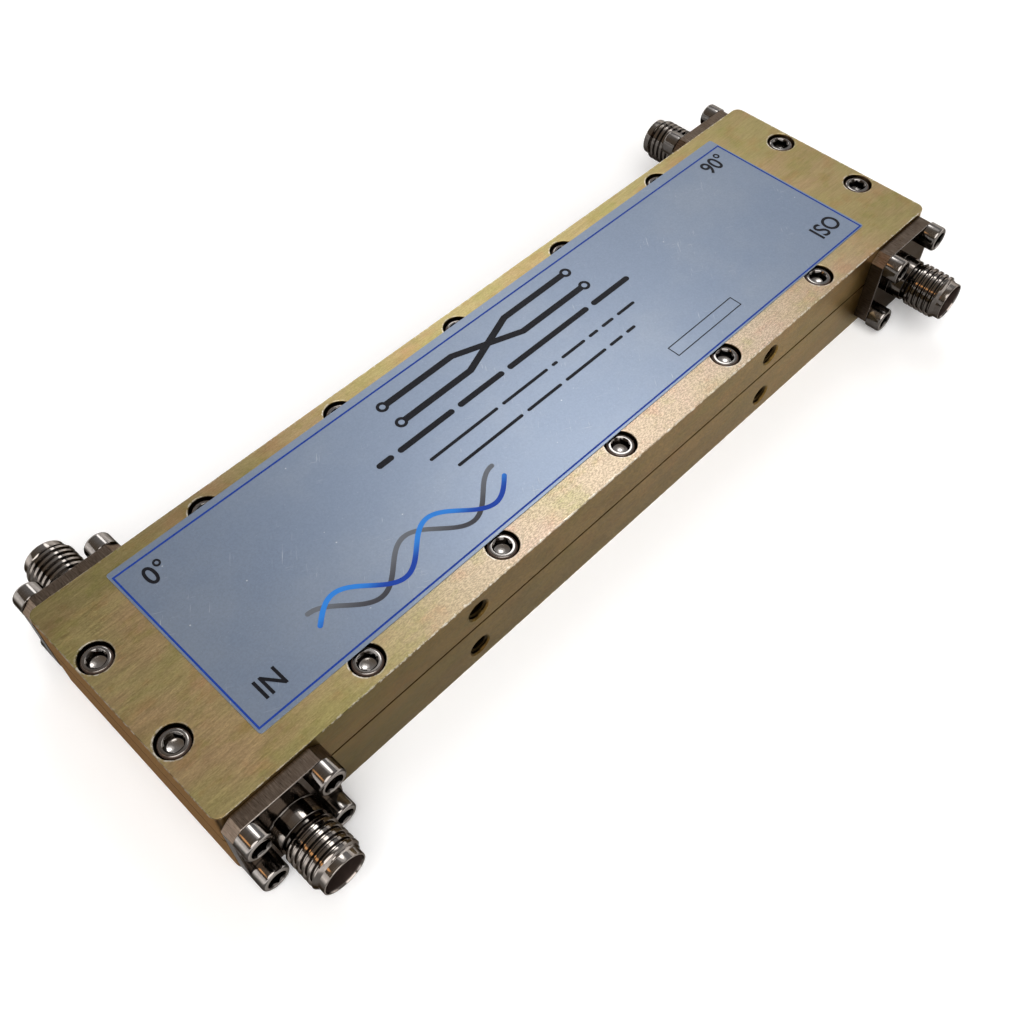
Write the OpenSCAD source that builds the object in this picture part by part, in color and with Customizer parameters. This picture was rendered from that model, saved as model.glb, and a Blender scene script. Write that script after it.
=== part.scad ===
// Stripline hybrid coupler with four threaded coaxial jacks.
// A two-part machined housing holds a sandwich of boards with two crossing tracks.
// X runs along the housing, Y across it and Z up. The origin is the centre of the base.
// Ports: input and isolated on the front side (-Y), zero degree and ninety degree at the back (+Y).

/* [Housing] */
// Length of the housing
body_l = 127; // [116:0.5:160]
// Width of the housing
body_w = 34; // [32:0.5:44]
// Height of the closed housing
body_h = 14.3; // [13.7:0.1:16]
// Height of the seam between the two halves
seam_z = 8; // [7.7:0.1:8.4]
// Radius of the four upright corners
corner_r = 1.2; // [0.6:0.1:1.6]
// Broken edge round the top and the base
edge_break = 0.2; // [0.1:0.05:0.3]
// Broken edge along the seam
seam_break = 0.08; // [0.04:0.02:0.12]
// Thickness of the long walls beside the pocket
side_wall = 5.8; // [5.4:0.1:6.4]
// Thickness of the end walls beside the pocket
end_wall = 4.6; // [4.2:0.1:5]

/* [Socket screws] */
// Thread diameter of every socket screw
screw_d = 2.18; // [2:0.02:2.3]
// Diameter of a screw head
head_d = 3.56; // [3.3:0.02:3.7]
// Height of a screw head
head_h = 2.18; // [1.8:0.02:2.4]
// Broken edge round the top of a head
head_break = 0.2; // [0.1:0.05:0.3]
// Width across the flats of the hexagon socket
hex_af = 1.98; // [1.5:0.02:2.1]
// Depth of the hexagon socket
hex_depth = 1.2; // [0.8:0.1:1.4]
// Diameter of a clearance hole
clear_d = 2.45; // [2.4:0.01:2.6]
// Gap round a screw in its tapped hole
thread_gap = 0.02; // [0.01:0.01:0.05]
// Empty depth past the end of a screw
tap_runout = 0.5; // [0.3:0.1:0.8]

/* [Housing screws] */
// Diameter of a counterbore
cbore_d = 4.1; // [3.9:0.05:4.2]
// Broken edge round a counterbore
cbore_break = 0.12; // [0.05:0.01:0.15]
// Depth of a head below the top face
head_recess = 0.25; // [0.1:0.05:0.6]
// Length of the threaded shank
housing_screw_l = 8.4; // [7:0.1:9]
// Distance between the screws along a long side
row_pitch = 20.6; // [19:0.1:21.5]
// Distance from the long side to its screws
row_inset = 2.9; // [2.6:0.1:3.1]
// Distance between the two screws at an end
end_spacing = 13.8; // [10:0.1:14.4]
// Distance from the end face to its screws
end_inset = 2.3; // [2.25:0.05:2.6]

/* [Locating pins] */
// Diameter of a locating pin
dowel_d = 2; // [1.5:0.1:2.2]
// Length of a locating pin
dowel_l = 6; // [4:0.5:7]
// Gap round a locating pin
dowel_gap = 0.01; // [0.01:0.01:0.03]
// Empty depth past each end of a locating pin
dowel_runout = 0.3; // [0.1:0.1:0.5]

/* [Side mounting holes] */
// Distance between the two pairs of tapped holes
mount_spacing = 54.8; // [50:0.1:60]
// Height between the two holes of a pair
mount_rise = 8.05; // [7.8:0.05:8.5]
// Thread diameter of a mounting hole
mount_d = 2.84; // [2.5:0.02:3]
// Depth of a mounting hole
mount_depth = 4.6; // [3.5:0.1:4.8]
// Width of the countersink round a mounting hole
mount_sink = 0.35; // [0.1:0.05:0.4]

/* [Jack body] */
// Distance from the end face of the housing to a jack's axis
port_inset = 6.5; // [6.4:0.1:7.5]
// Width and height of the flange
flange_w = 12.9; // [12.7:0.1:13]
// Thickness of the flange
flange_t = 2; // [1.6:0.1:2.5]
// Size of the four clipped corners of the flange
flange_clip = 1.4; // [1:0.1:1.7]
// Distance between the flange screws, both ways
flange_pitch = 9.4; // [9:0.1:9.5]
// Length of the barrel in front of the flange
barrel_l = 8.4; // [7.5:0.1:9.5]
// Outer diameter of the coupling thread
thread_d = 6.35; // [6:0.05:6.5]
// Length of the plain collar next to the flange
collar_l = 2.1; // [1.8:0.1:2.6]
// Diameter of the plain collar
collar_d = 6.1; // [5.9:0.1:6.3]
// Width of the relief groove behind the thread
groove_w = 0.4; // [0.2:0.05:0.6]
// Diameter at the bottom of the relief groove
groove_d = 5.4; // [5.3:0.1:5.8]
// Length of the plain lip in front of the thread
lip_l = 0.9; // [0.6:0.1:1.2]
// Diameter of the plain lip
lip_d = 5.5; // [5.3:0.05:5.7]
// Diameter of the front bore
mouth_d = 4.6; // [4.5:0.02:4.8]
// Depth of the front bore, down to the insulator
mouth_depth = 1.9; // [1.7:0.1:2.2]
// Bevel inside the rim of the front bore
mouth_bevel = 0.15; // [0.05:0.05:0.2]
// Length of the shank of a flange screw
flange_screw_l = 6; // [5.2:0.1:6]

/* [Jack inside] */
// Outer diameter of the insulator
insulator_d = 4.1; // [3.9:0.05:4.2]
// Gap round the insulator
insulator_gap = 0.02; // [0.01:0.01:0.05]
// Diameter of the centre contact
contact_d = 1.27; // [1.2:0.01:1.35]
// Gap between the contact and the insulator
contact_gap = 0.01; // [0.01:0.01:0.03]
// Diameter of the hole in the front of the contact
socket_d = 0.92; // [0.9:0.01:0.96]
// Depth of the hole in the front of the contact
socket_depth = 2.6; // [2.2:0.1:3.2]
// Bevel at the front of the contact's hole
socket_bevel = 0.1; // [0.05:0.01:0.12]
// Length of the flattened end that lies on a track
tab_l = 1.5; // [1:0.1:2]

/* [Boards] */
// Thickness of the lower and of the upper board
ground_board_t = 1.5; // [1.3:0.05:1.6]
// Thickness of the centre board
centre_board_t = 0.25; // [0.2:0.01:0.35]
// Thickness of a copper track
track_t = 0.1; // [0.06:0.01:0.12]
// Gap between the boards and the pocket's walls
board_gap = 0.1; // [0.05:0.05:0.2]
// Gap beside a contact's flattened end in a board's notch
notch_gap = 0.25; // [0.15:0.05:0.4]

/* [Tracks] */
// Number of steps from the middle of a track to one end
track_steps = 4; // [3:1:6]
// Length of one step of a track
step_l = 10.8; // [9:0.1:11.5]
// Sideways distance of the outermost step from the centre line
track_spread = 4.2; // [3:0.1:5]
// How strongly the steps crowd towards the middle
track_bend = 1.5; // [1.2:0.1:1.8]
// Width of a track
track_w = 2.2; // [1.8:0.1:2.6]

/* [Label] */
// Length of the label
label_l = 108.5; // [90:0.1:110]
// Width of the label
label_w = 27.6; // [20:0.1:28]
// Thickness of the label
label_t = 0.12; // [0.08:0.01:0.2]
// Offset of the label towards the isolated end
label_shift_x = -0.3; // [-1:0.1:1]
// Offset of the label towards the back
label_shift_y = 1; // [0:0.1:1.5]
// Radius of the label's corners
label_r = 0.4; // [0.2:0.1:1]

/* [Hidden] */
$fn = 64;

// Overlap that makes a cut run clear through a face
eps = 0.01;
// The jacks, the boards and the side holes are all centred on this height
axis_z = body_h / 2;
// The ports as [end, side]: -1 or 1 along X, and -1 or 1 along Y
INPUT = [-1, -1];
ISOLATED = [1, -1];
ZERO_DEGREE = [-1, 1];
NINETY_DEGREE = [1, 1];
PORTS = [INPUT, ISOLATED, ZERO_DEGREE, NINETY_DEGREE];
port_x = body_l / 2 - port_inset;

pocket_l = body_l - 2 * end_wall;
pocket_w = body_w - 2 * side_wall;
stack_h = 2 * ground_board_t + 2 * track_t + centre_board_t;
stack_z = axis_z - stack_h / 2;
board_l = pocket_l - 2 * board_gap;
board_w = pocket_w - 2 * board_gap;
centre_z = axis_z - centre_board_t / 2;

// Places of the housing screws, seen from above
row_y = body_w / 2 - row_inset;
end_x = body_l / 2 - end_inset;
HOUSING_SCREWS = concat(
    [for (side = [-1, 1], i = [-2 : 2]) [i * row_pitch, side * row_y]],
    [for (end = [-1, 1], side = [-1, 1]) [end * end_x, side * end_spacing / 2]]);
seat_z = body_h - head_recess - head_h;
housing_tip_z = seat_z - housing_screw_l;

// The locating pins stand midway between two screws, on opposite sides
DOWELS = [[-1.5 * row_pitch, row_y], [1.5 * row_pitch, -row_y]];

barrel_end = flange_t + barrel_l;
thread_start = flange_t + collar_l + groove_w;
thread_end = barrel_end - lip_l;
thread_bevel = (thread_d - lip_d) / 2;
flange_tap_depth = flange_screw_l - flange_t + tap_runout;

// A block with rounded upright corners, from z0 to z1
module rounded_block(l, w, z0, z1, r) {
    translate([0, 0, z0]) linear_extrude(z1 - z0) {
        square([l - 2 * r, w], center = true);
        square([l, w - 2 * r], center = true);
        for (x = [-1, 1], y = [-1, 1]) translate([x * (l / 2 - r), y * (w / 2 - r)]) circle(r);
    }
}

// The metal that a broken edge takes off the top rim of a rounded block whose top face is at z = 0
module edge_cut(l, w, r, size) {
    for (y = [0, 1]) mirror([0, y, 0]) translate([-l / 2 + r, w / 2, 0]) rotate([90, 0, 90])
        linear_extrude(l - 2 * r) polygon([[eps, -size - eps], [eps, eps], [-size - eps, eps]]);
    for (x = [0, 1]) mirror([x, 0, 0]) translate([l / 2, w / 2 - r, 0]) rotate([90, 0, 0])
        linear_extrude(w - 2 * r) polygon([[eps, -size - eps], [eps, eps], [-size - eps, eps]]);
    for (x = [0, 1], y = [0, 1]) mirror([x, 0, 0]) mirror([0, y, 0])
        translate([l / 2 - r, w / 2 - r, 0]) difference() {
            translate([-eps, -eps, -size]) cube([r + 2 * eps, r + 2 * eps, size + eps]);
            translate([0, 0, -size]) cylinder(h = size, r1 = r, r2 = r - size);
            translate([0, 0, -eps]) cylinder(h = 3 * eps, r = r - size);
        }
}

// One half of the housing as a plain block with its four rims broken
module half_block(z0, z1, top_break, base_break) {
    difference() {
        rounded_block(body_l, body_w, z0, z1, corner_r);
        translate([0, 0, z1]) edge_cut(body_l, body_w, corner_r, top_break);
        translate([0, 0, z0]) mirror([0, 0, 1]) edge_cut(body_l, body_w, corner_r, base_break);
    }
}

// Puts its children at a port: X = 0 is the jack's axis, and +Z points out of the housing's side
module at_port(port) {
    translate([port[0] * port_x, port[1] * body_w / 2, axis_z]) rotate([-90 * port[1], 0, 0]) children();
}

// Repeats its children at the four screws of a flange
module at_flange_screws() {
    for (x = [-1, 1], y = [-1, 1]) translate([x * flange_pitch / 2, y * flange_pitch / 2, 0]) children();
}

// Everything that both halves have in their sides: bores of the jacks and tapped holes
module side_cuts() {
    for (port = PORTS) at_port(port) {
        translate([0, 0, -side_wall - eps]) cylinder(h = side_wall + 2 * eps, d = insulator_d + 2 * insulator_gap);
        at_flange_screws() translate([0, 0, -flange_tap_depth])
            cylinder(h = flange_tap_depth + eps, d = screw_d + 2 * thread_gap);
    }
    for (x = [-1, 1], z = [-1, 1]) translate([x * mount_spacing / 2, -body_w / 2, axis_z + z * mount_rise / 2])
        rotate([-90, 0, 0]) {
            translate([0, 0, -eps]) cylinder(h = mount_depth + eps, d = mount_d);
            translate([0, 0, -eps]) cylinder(h = mount_sink + eps, d1 = mount_d + 2 * (mount_sink + eps), d2 = mount_d);
        }
}

// The space that the boards fill
module pocket() {
    translate([-pocket_l / 2, -pocket_w / 2, stack_z]) cube([pocket_l, pocket_w, stack_h]);
}

// Holes for the locating pins, in both halves
module dowel_holes() {
    for (p = DOWELS) translate([p[0], p[1], seam_z - dowel_l / 2 - dowel_runout])
        cylinder(h = dowel_l + 2 * dowel_runout, d = dowel_d + 2 * dowel_gap);
}

module upper_housing() {
    color([0.70, 0.64, 0.46]) difference() {
        half_block(seam_z, body_h, edge_break, seam_break);
        pocket();
        side_cuts();
        dowel_holes();
        for (p = HOUSING_SCREWS) translate([p[0], p[1], 0]) {
            translate([0, 0, seam_z - eps]) cylinder(h = body_h, d = clear_d);
            translate([0, 0, seat_z]) cylinder(h = body_h, d = cbore_d);
            translate([0, 0, body_h - cbore_break])
                cylinder(h = cbore_break + eps, d1 = cbore_d, d2 = cbore_d + 2 * (cbore_break + eps));
        }
    }
}

module lower_housing() {
    color([0.62, 0.55, 0.38]) difference() {
        half_block(0, seam_z, seam_break, edge_break);
        pocket();
        side_cuts();
        dowel_holes();
        for (p = HOUSING_SCREWS) translate([p[0], p[1], housing_tip_z - tap_runout])
            cylinder(h = seam_z - housing_tip_z + tap_runout + eps, d = screw_d + 2 * thread_gap);
    }
}

module label() {
    color([0.62, 0.70, 0.80]) translate([label_shift_x, label_shift_y, 0])
        rounded_block(label_l, label_w, body_h, body_h + label_t, label_r);
}

// A socket head screw: the head stands on z = 0 and the shank hangs below it
module socket_screw(shank_l) {
    difference() {
        rotate_extrude() polygon([
            [0, -shank_l], [screw_d / 2 - head_break, -shank_l], [screw_d / 2, -shank_l + head_break],
            [screw_d / 2, 0], [head_d / 2, 0], [head_d / 2, head_h - head_break],
            [head_d / 2 - head_break, head_h], [0, head_h]]);
        translate([0, 0, head_h - hex_depth]) cylinder(h = hex_depth + eps, d = hex_af / cos(30), $fn = 6);
    }
}

module housing_screws() {
    color([0.55, 0.55, 0.56]) for (p = HOUSING_SCREWS) translate([p[0], p[1], seat_z])
        socket_screw(housing_screw_l);
}

module locating_pins() {
    color([0.6, 0.6, 0.62]) for (p = DOWELS) translate([p[0], p[1], seam_z - dowel_l / 2])
        cylinder(h = dowel_l, d = dowel_d);
}

// The lower track joins the input port to the ninety degree port, and the upper one the other two
LOWER_PORTS = [INPUT, NINETY_DEGREE];
UPPER_PORTS = [ZERO_DEGREE, ISOLATED];

// A ground board, notched where the flattened contacts lie on its track
module ground_board(z, ports) {
    notch_w = contact_d + 2 * notch_gap;
    notch_l = tab_l + notch_gap;
    difference() {
        translate([-board_l / 2, -board_w / 2, z]) cube([board_l, board_w, ground_board_t]);
        for (port = ports) translate([port[0] * port_x, port[1] * pocket_w / 2, z + ground_board_t / 2])
            cube([notch_w, 2 * notch_l, ground_board_t + 2 * eps], center = true);
    }
}

module lower_ground_board() {
    color([0.86, 0.84, 0.76]) ground_board(stack_z, LOWER_PORTS);
}

module upper_ground_board() {
    color([0.86, 0.84, 0.76]) ground_board(stack_z + stack_h - ground_board_t, UPPER_PORTS);
}

module centre_board() {
    color([0.80, 0.72, 0.50]) translate([-board_l / 2, -board_w / 2, centre_z])
        cube([board_l, board_w, centre_board_t]);
}

// Sideways place of step i of a track, from -track_steps to track_steps
function step_y(i) = sign(i) * track_spread * pow(abs(i) / track_steps, track_bend);

// A stepped track that crosses the centre line, with a lead to a port at each end
module track_outline() {
    lead_x = port_x + track_w / 2;
    last_x = (track_steps + 0.5) * step_l;
    for (i = [-track_steps : track_steps])
        translate([(i - 0.5) * step_l - eps, step_y(i) - track_w / 2]) square([step_l + 2 * eps, track_w]);
    for (turn = [0, 180]) rotate(turn) difference() {
        translate([last_x - eps, track_spread - track_w / 2])
            square([lead_x - last_x + eps, board_w / 2 - track_spread + track_w / 2]);
        translate([last_x - 2 * eps, track_spread + track_w / 2])
            square([lead_x - track_w - last_x + 2 * eps, board_w]);
        translate([lead_x, track_spread - track_w / 2]) rotate(45) square(track_w, center = true);
    }
}

module lower_track() {
    color([0.78, 0.48, 0.32]) translate([0, 0, centre_z - track_t]) linear_extrude(track_t) track_outline();
}

module upper_track() {
    color([0.78, 0.48, 0.32]) translate([0, 0, centre_z + centre_board_t]) linear_extrude(track_t)
        mirror([0, 1, 0]) track_outline();
}

// A jack turned and milled from one piece: a clipped square flange and a threaded barrel
module jack(port) {
    clipped = flange_w / 2 - flange_clip;
    half_w = flange_w / 2;
    color([0.60, 0.59, 0.58]) at_port(port) difference() {
        union() {
            linear_extrude(flange_t) polygon([
                [clipped, half_w], [half_w, clipped], [half_w, -clipped], [clipped, -half_w],
                [-clipped, -half_w], [-half_w, -clipped], [-half_w, clipped], [-clipped, half_w]]);
            rotate_extrude() polygon([
                [0, eps], [collar_d / 2, eps], [collar_d / 2, flange_t + collar_l],
                [groove_d / 2, flange_t + collar_l], [groove_d / 2, thread_start],
                [lip_d / 2, thread_start], [thread_d / 2, thread_start + thread_bevel],
                [thread_d / 2, thread_end - thread_bevel], [lip_d / 2, thread_end],
                [lip_d / 2, barrel_end], [0, barrel_end]]);
        }
        translate([0, 0, -eps]) cylinder(h = barrel_end + 2 * eps, d = insulator_d + 2 * insulator_gap);
        translate([0, 0, barrel_end - mouth_depth]) cylinder(h = mouth_depth + eps, d = mouth_d);
        translate([0, 0, barrel_end - mouth_bevel])
            cylinder(h = mouth_bevel + eps, d1 = mouth_d, d2 = mouth_d + 2 * (mouth_bevel + eps));
        at_flange_screws() translate([0, 0, -eps]) cylinder(h = flange_t + 2 * eps, d = clear_d);
    }
}

// The tube of insulator between the jack's front bore and the pocket
module insulator(port) {
    color([0.93, 0.93, 0.90]) at_port(port) translate([0, 0, -side_wall]) difference() {
        cylinder(h = side_wall + barrel_end - mouth_depth, d = insulator_d);
        translate([0, 0, -eps]) cylinder(h = side_wall + barrel_end, d = contact_d + 2 * contact_gap);
    }
}

// The centre contact: a socket in front, and a flattened end that lies on the outer face of its track
module contact(port, above) {
    front = barrel_end - mouth_depth;
    flat = centre_board_t / 2 + track_t;
    color([0.85, 0.68, 0.35]) difference() {
        at_port(port) difference() {
            translate([0, 0, -side_wall - tab_l]) cylinder(h = side_wall + tab_l + front, d = contact_d);
            translate([0, 0, front - socket_depth]) cylinder(h = socket_depth + eps, d = socket_d);
            translate([0, 0, front - socket_bevel])
                cylinder(h = socket_bevel + eps, d1 = socket_d, d2 = socket_d + 2 * (socket_bevel + eps));
        }
        translate([port[0] * port_x, port[1] * (pocket_w / 2 - tab_l), axis_z + above * (flat - contact_d)])
            cube([2 * contact_d, 2 * tab_l, 2 * contact_d], center = true);
    }
}

module flange_screws(port) {
    color([0.52, 0.52, 0.53]) at_port(port) at_flange_screws() translate([0, 0, flange_t])
        socket_screw(flange_screw_l);
}

module input_jack() { jack(INPUT); }
module input_insulator() { insulator(INPUT); }
module input_contact() { contact(INPUT, -1); }
module input_flange_screws() { flange_screws(INPUT); }
module isolated_jack() { jack(ISOLATED); }
module isolated_insulator() { insulator(ISOLATED); }
module isolated_contact() { contact(ISOLATED, 1); }
module isolated_flange_screws() { flange_screws(ISOLATED); }
module zero_degree_jack() { jack(ZERO_DEGREE); }
module zero_degree_insulator() { insulator(ZERO_DEGREE); }
module zero_degree_contact() { contact(ZERO_DEGREE, 1); }
module zero_degree_flange_screws() { flange_screws(ZERO_DEGREE); }
module ninety_degree_jack() { jack(NINETY_DEGREE); }
module ninety_degree_insulator() { insulator(NINETY_DEGREE); }
module ninety_degree_contact() { contact(NINETY_DEGREE, -1); }
module ninety_degree_flange_screws() { flange_screws(NINETY_DEGREE); }

upper_housing();
lower_housing();
label();
housing_screws();
locating_pins();
lower_ground_board();
centre_board();
upper_ground_board();
lower_track();
upper_track();
input_jack();
input_insulator();
input_contact();
input_flange_screws();
isolated_jack();
isolated_insulator();
isolated_contact();
isolated_flange_screws();
zero_degree_jack();
zero_degree_insulator();
zero_degree_contact();
zero_degree_flange_screws();
ninety_degree_jack();
ninety_degree_insulator();
ninety_degree_contact();
ninety_degree_flange_screws();
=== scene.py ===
"""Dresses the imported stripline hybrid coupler.

The housing halves, the label, the jacks and the socket screws are built as detailed meshes that stand for
their CAD nodes. The inner parts keep their CAD meshes and get a finish. Meshes are built in millimetres, in
the row frame: X along the housing, Y across it, Z up, with the origin at the centre of the base.
"""

from __future__ import annotations

import logging
import math
from dataclasses import dataclass, field
from enum import Enum
from typing import Callable, ClassVar, Sequence

import bmesh
import bpy
from mathutils import Matrix, Quaternion, Vector

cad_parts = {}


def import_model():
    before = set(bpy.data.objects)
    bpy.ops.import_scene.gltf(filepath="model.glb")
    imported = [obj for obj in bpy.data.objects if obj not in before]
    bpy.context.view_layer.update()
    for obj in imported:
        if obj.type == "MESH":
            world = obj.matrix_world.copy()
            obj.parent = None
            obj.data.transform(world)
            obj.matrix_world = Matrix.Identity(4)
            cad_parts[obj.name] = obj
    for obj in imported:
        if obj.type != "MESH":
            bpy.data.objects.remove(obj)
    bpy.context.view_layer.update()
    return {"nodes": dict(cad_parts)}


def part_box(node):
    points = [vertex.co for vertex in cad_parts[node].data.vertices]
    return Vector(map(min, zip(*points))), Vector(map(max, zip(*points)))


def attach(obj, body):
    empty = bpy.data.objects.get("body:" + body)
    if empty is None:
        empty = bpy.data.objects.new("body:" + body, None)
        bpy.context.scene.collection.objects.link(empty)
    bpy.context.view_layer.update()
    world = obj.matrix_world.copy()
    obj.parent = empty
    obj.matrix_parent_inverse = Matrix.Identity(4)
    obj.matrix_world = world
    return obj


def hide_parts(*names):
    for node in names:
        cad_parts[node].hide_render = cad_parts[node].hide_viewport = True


log = logging.getLogger("coupler")

MM = 0.001  # metres in a millimetre
BODY = "root"
IMAGE_PX = 1024
LOCAL = "local"  # attribute with a point's place in its own pattern
GOLDEN_TURN = 2.39996  # radians from one screw to the next, so that no two sockets stand alike
MOST = (0.3, 0.7)  # the range that holds most values of a noise
FAR = 99.0  # a place that nothing reaches

Point2 = tuple[float, float]
Point3 = tuple[float, float, float]
Colour = tuple[float, float, float]
Inputs = dict[int | str, object]
Node = bpy.types.Node
Socket = bpy.types.NodeSocket
Object = bpy.types.Object
Material = bpy.types.Material


# Mesh building

@dataclass
class Shell:
    """Points and faces of a mesh in the making, in millimetres."""

    points: list[Point3] = field(default_factory=list)
    faces: list[tuple[int, ...]] = field(default_factory=list)

    def add(self, other: Shell, place: Matrix | None = None) -> Shell:
        """Joins another shell to this one.

        Args:
            other: The shell to take in.
            place: Where to put it, or None to leave it where it is.

        Returns:
            This shell, so that calls can be chained.
        """
        start = len(self.points)
        moved = other.points if place is None else [tuple(place @ Vector(p)) for p in other.points]
        self.points.extend(moved)
        self.faces.extend(tuple(start + i for i in face) for face in other.faces)
        return self

    def to_object(self, name: str) -> Object:
        """Makes a closed mesh object, still in millimetres, with its loose seams merged.

        Args:
            name: Name of the object and its mesh.

        Returns:
            The new object, linked to the scene.
        """
        mesh = bpy.data.meshes.new(name)
        mesh.from_pydata(self.points, [], self.faces)
        work = bmesh.new()
        work.from_mesh(mesh)
        bmesh.ops.remove_doubles(work, verts=work.verts, dist=1e-4)
        bmesh.ops.recalc_face_normals(work, faces=work.faces)
        work.to_mesh(mesh)
        work.free()
        return linked(name, mesh)


def linked(name: str, data: bpy.types.ID) -> Object:
    """Makes an object in the scene.

    Args:
        name: Its name.
        data: Its mesh, curve, lamp or camera.

    Returns:
        The object.
    """
    made = bpy.data.objects.new(name, data)
    bpy.context.scene.collection.objects.link(made)
    return made


def aimed(name: str, data: bpy.types.ID, place: Vector, turn: Quaternion) -> Object:
    """Makes a lamp or camera in the scene.

    Args:
        name: Its name.
        data: Its lamp or camera.
        place: Where it stands, in metres.
        turn: Which way it faces.

    Returns:
        The object.
    """
    made = linked(name, data)
    made.location = place
    made.rotation_mode = "QUATERNION"
    made.rotation_quaternion = turn
    return made


def revolved(profile: Sequence[Point2], steps: int) -> Shell:
    """Turns a profile of (radius, height) points round Z.

    Args:
        profile: The points in order. A radius of 0 closes that end.
        steps: Number of segments round the axis.

    Returns:
        The turned surface.
    """
    shell = Shell()
    for radius, height in profile:
        for i in range(steps):
            turn = math.tau * i / steps
            shell.points.append((radius * math.cos(turn), radius * math.sin(turn), height))
    for row in range(len(profile) - 1):
        for i in range(steps):
            a, b = row * steps + i, row * steps + (i + 1) % steps
            shell.faces.append((a, b, b + steps, a + steps))
    return shell


def arc(centre: Point2, radius: float, start: float, end: float, steps: int) -> list[Point2]:
    """Points along an arc in a profile, with its angles in degrees."""
    turns = [math.radians(start + (end - start) * i / steps) for i in range(steps + 1)]
    return [(centre[0] + radius * math.cos(t), centre[1] + radius * math.sin(t)) for t in turns]


def inset(outline: Sequence[Point2], distance: float) -> list[Point2]:
    """Moves every side of a convex outline inwards.

    Args:
        outline: Corner points, counter-clockwise.
        distance: How far each side moves.

    Returns:
        As many corner points as before.
    """
    made = []
    count = len(outline)
    for i in range(count):
        before, here, after = (Vector(outline[(i + k) % count]) for k in (-1, 0, 1))
        into, out = (here - before).normalized(), (after - here).normalized()
        first, second = Vector((-into.y, into.x)), Vector((-out.y, out.x))
        middle = (first + second).normalized()
        made.append(tuple(here + middle * distance / middle.dot(first)))
    return made


def slab(outline: Sequence[Point2], low: float, high: float, low_break: float, high_break: float) -> Shell:
    """A flat block with rounded rims.

    Args:
        outline: Corner points of a convex outline, counter-clockwise.
        low: Height of the lower face.
        high: Height of the upper face.
        low_break: Radius of the lower rim.
        high_break: Radius of the upper rim.

    Returns:
        The closed block.
    """
    rows = [(back, low + z) for back, z in rim(low_break)]
    rows += [(back, high - z) for back, z in reversed(rim(high_break))]
    count = len(outline)
    shell = Shell()
    for back, height in rows:
        shell.points.extend((x, y, height) for x, y in inset(outline, back))
    for row in range(len(rows) - 1):
        for i in range(count):
            a, b = row * count + i, row * count + (i + 1) % count
            shell.faces.append((a, b, b + count, a + count))
    shell.faces.append(tuple(reversed(range(count))))
    shell.faces.append(tuple(range((len(rows) - 1) * count, len(rows) * count)))
    return shell


def rim(radius: float, steps: int = 3) -> list[Point2]:
    """Shape of a rounded rim.

    Args:
        radius: Its radius, or 0 for a sharp edge.
        steps: Number of segments.

    Returns:
        How far the rim stands back from the side, with the height above its face.
    """
    if radius <= 0:
        return [(0.0, 0.0)]
    return [(radius - x, radius + z) for x, z in arc((0.0, 0.0), radius, -90, 0, steps)]


def rounded_rectangle(length: float, width: float, radius: float, steps: int = 8) -> list[Point2]:
    """Outline of a rectangle with round corners.

    Args:
        length: Size along X.
        width: Size along Y.
        radius: Radius of the corners.
        steps: Number of segments of each corner.

    Returns:
        The corner points, counter-clockwise.
    """
    made: list[Point2] = []
    for k, (x, y) in enumerate(((1, 1), (-1, 1), (-1, -1), (1, -1))):
        middle = (x * (length / 2 - radius), y * (width / 2 - radius))
        made += arc(middle, radius, 90 * k, 90 * k + 90, steps)
    return made


@dataclass(frozen=True)
class Thread:
    """A sixty degree screw thread."""

    crest_r: float
    pitch: float
    depth_share: float = 0.42
    rows: tuple[float, ...] = (0.0, 0.2, 0.4, 0.5, 0.6, 0.75, 0.87)

    @property
    def root_r(self) -> float:
        """Radius at the bottom of the thread."""
        return self.crest_r - self.depth_share * self.pitch

    def radius(self, share: float) -> float:
        """Radius along one pitch: a crest, a flank, a root and a flank.

        Args:
            share: The place, as a share of the pitch.

        Returns:
            The radius.
        """
        crest_end, root_start, root_end = 0.4, 0.6, 0.75
        drop = self.root_r - self.crest_r
        if share <= crest_end:
            return self.crest_r
        if share < root_start:
            return self.crest_r + drop * (share - crest_end) / (root_start - crest_end)
        if share <= root_end:
            return self.root_r
        return self.root_r - drop * (share - root_end) / (1 - root_end)

    def surface(self, low: float, high: float, shape: Callable[[float, float], float], steps: int) -> Shell:
        """The helical surface between two heights, open at both ends.

        Args:
            low: Height at which the thread starts.
            high: Height at which it ends.
            shape: Gives the true radius from a height and the thread's own radius there. At both ends it
                must not depend on the thread, so that the surface ends in plain rings.
            steps: Number of segments round the axis.

        Returns:
            The surface, with one row of points for each corner of the thread's form.
        """
        turns = math.ceil((high - low) / self.pitch) + 1
        count = turns * len(self.rows) + 1
        shell = Shell()
        for i in range(steps):
            turn = math.tau * i / steps
            for j in range(count):
                whole, part = divmod(j, len(self.rows))
                height = low + self.pitch * (whole + self.rows[part] + i / steps - 1)
                height = min(max(height, low), high)
                radius = shape(height, self.radius(self.rows[part]))
                shell.points.append((radius * math.cos(turn), radius * math.sin(turn), height))
        for i in range(steps):
            shift = len(self.rows) if i == steps - 1 else 0
            for j in range(count - 1):
                lower, upper = min(j + shift, count - 1), min(j + 1 + shift, count - 1)
                start, beside = i * count, (i + 1) % steps * count
                shell.faces.append((start + j, beside + lower, beside + upper, start + j + 1))
        return shell


def bake(target: Object) -> None:
    """Applies every modifier of an object.

    Args:
        target: The object, whose mesh is replaced.
    """
    bpy.context.view_layer.update()
    depsgraph = bpy.context.evaluated_depsgraph_get()
    made = bpy.data.meshes.new_from_object(
        target.evaluated_get(depsgraph), preserve_all_data_layers=True, depsgraph=depsgraph)
    target.modifiers.clear()
    target.data = made


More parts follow.
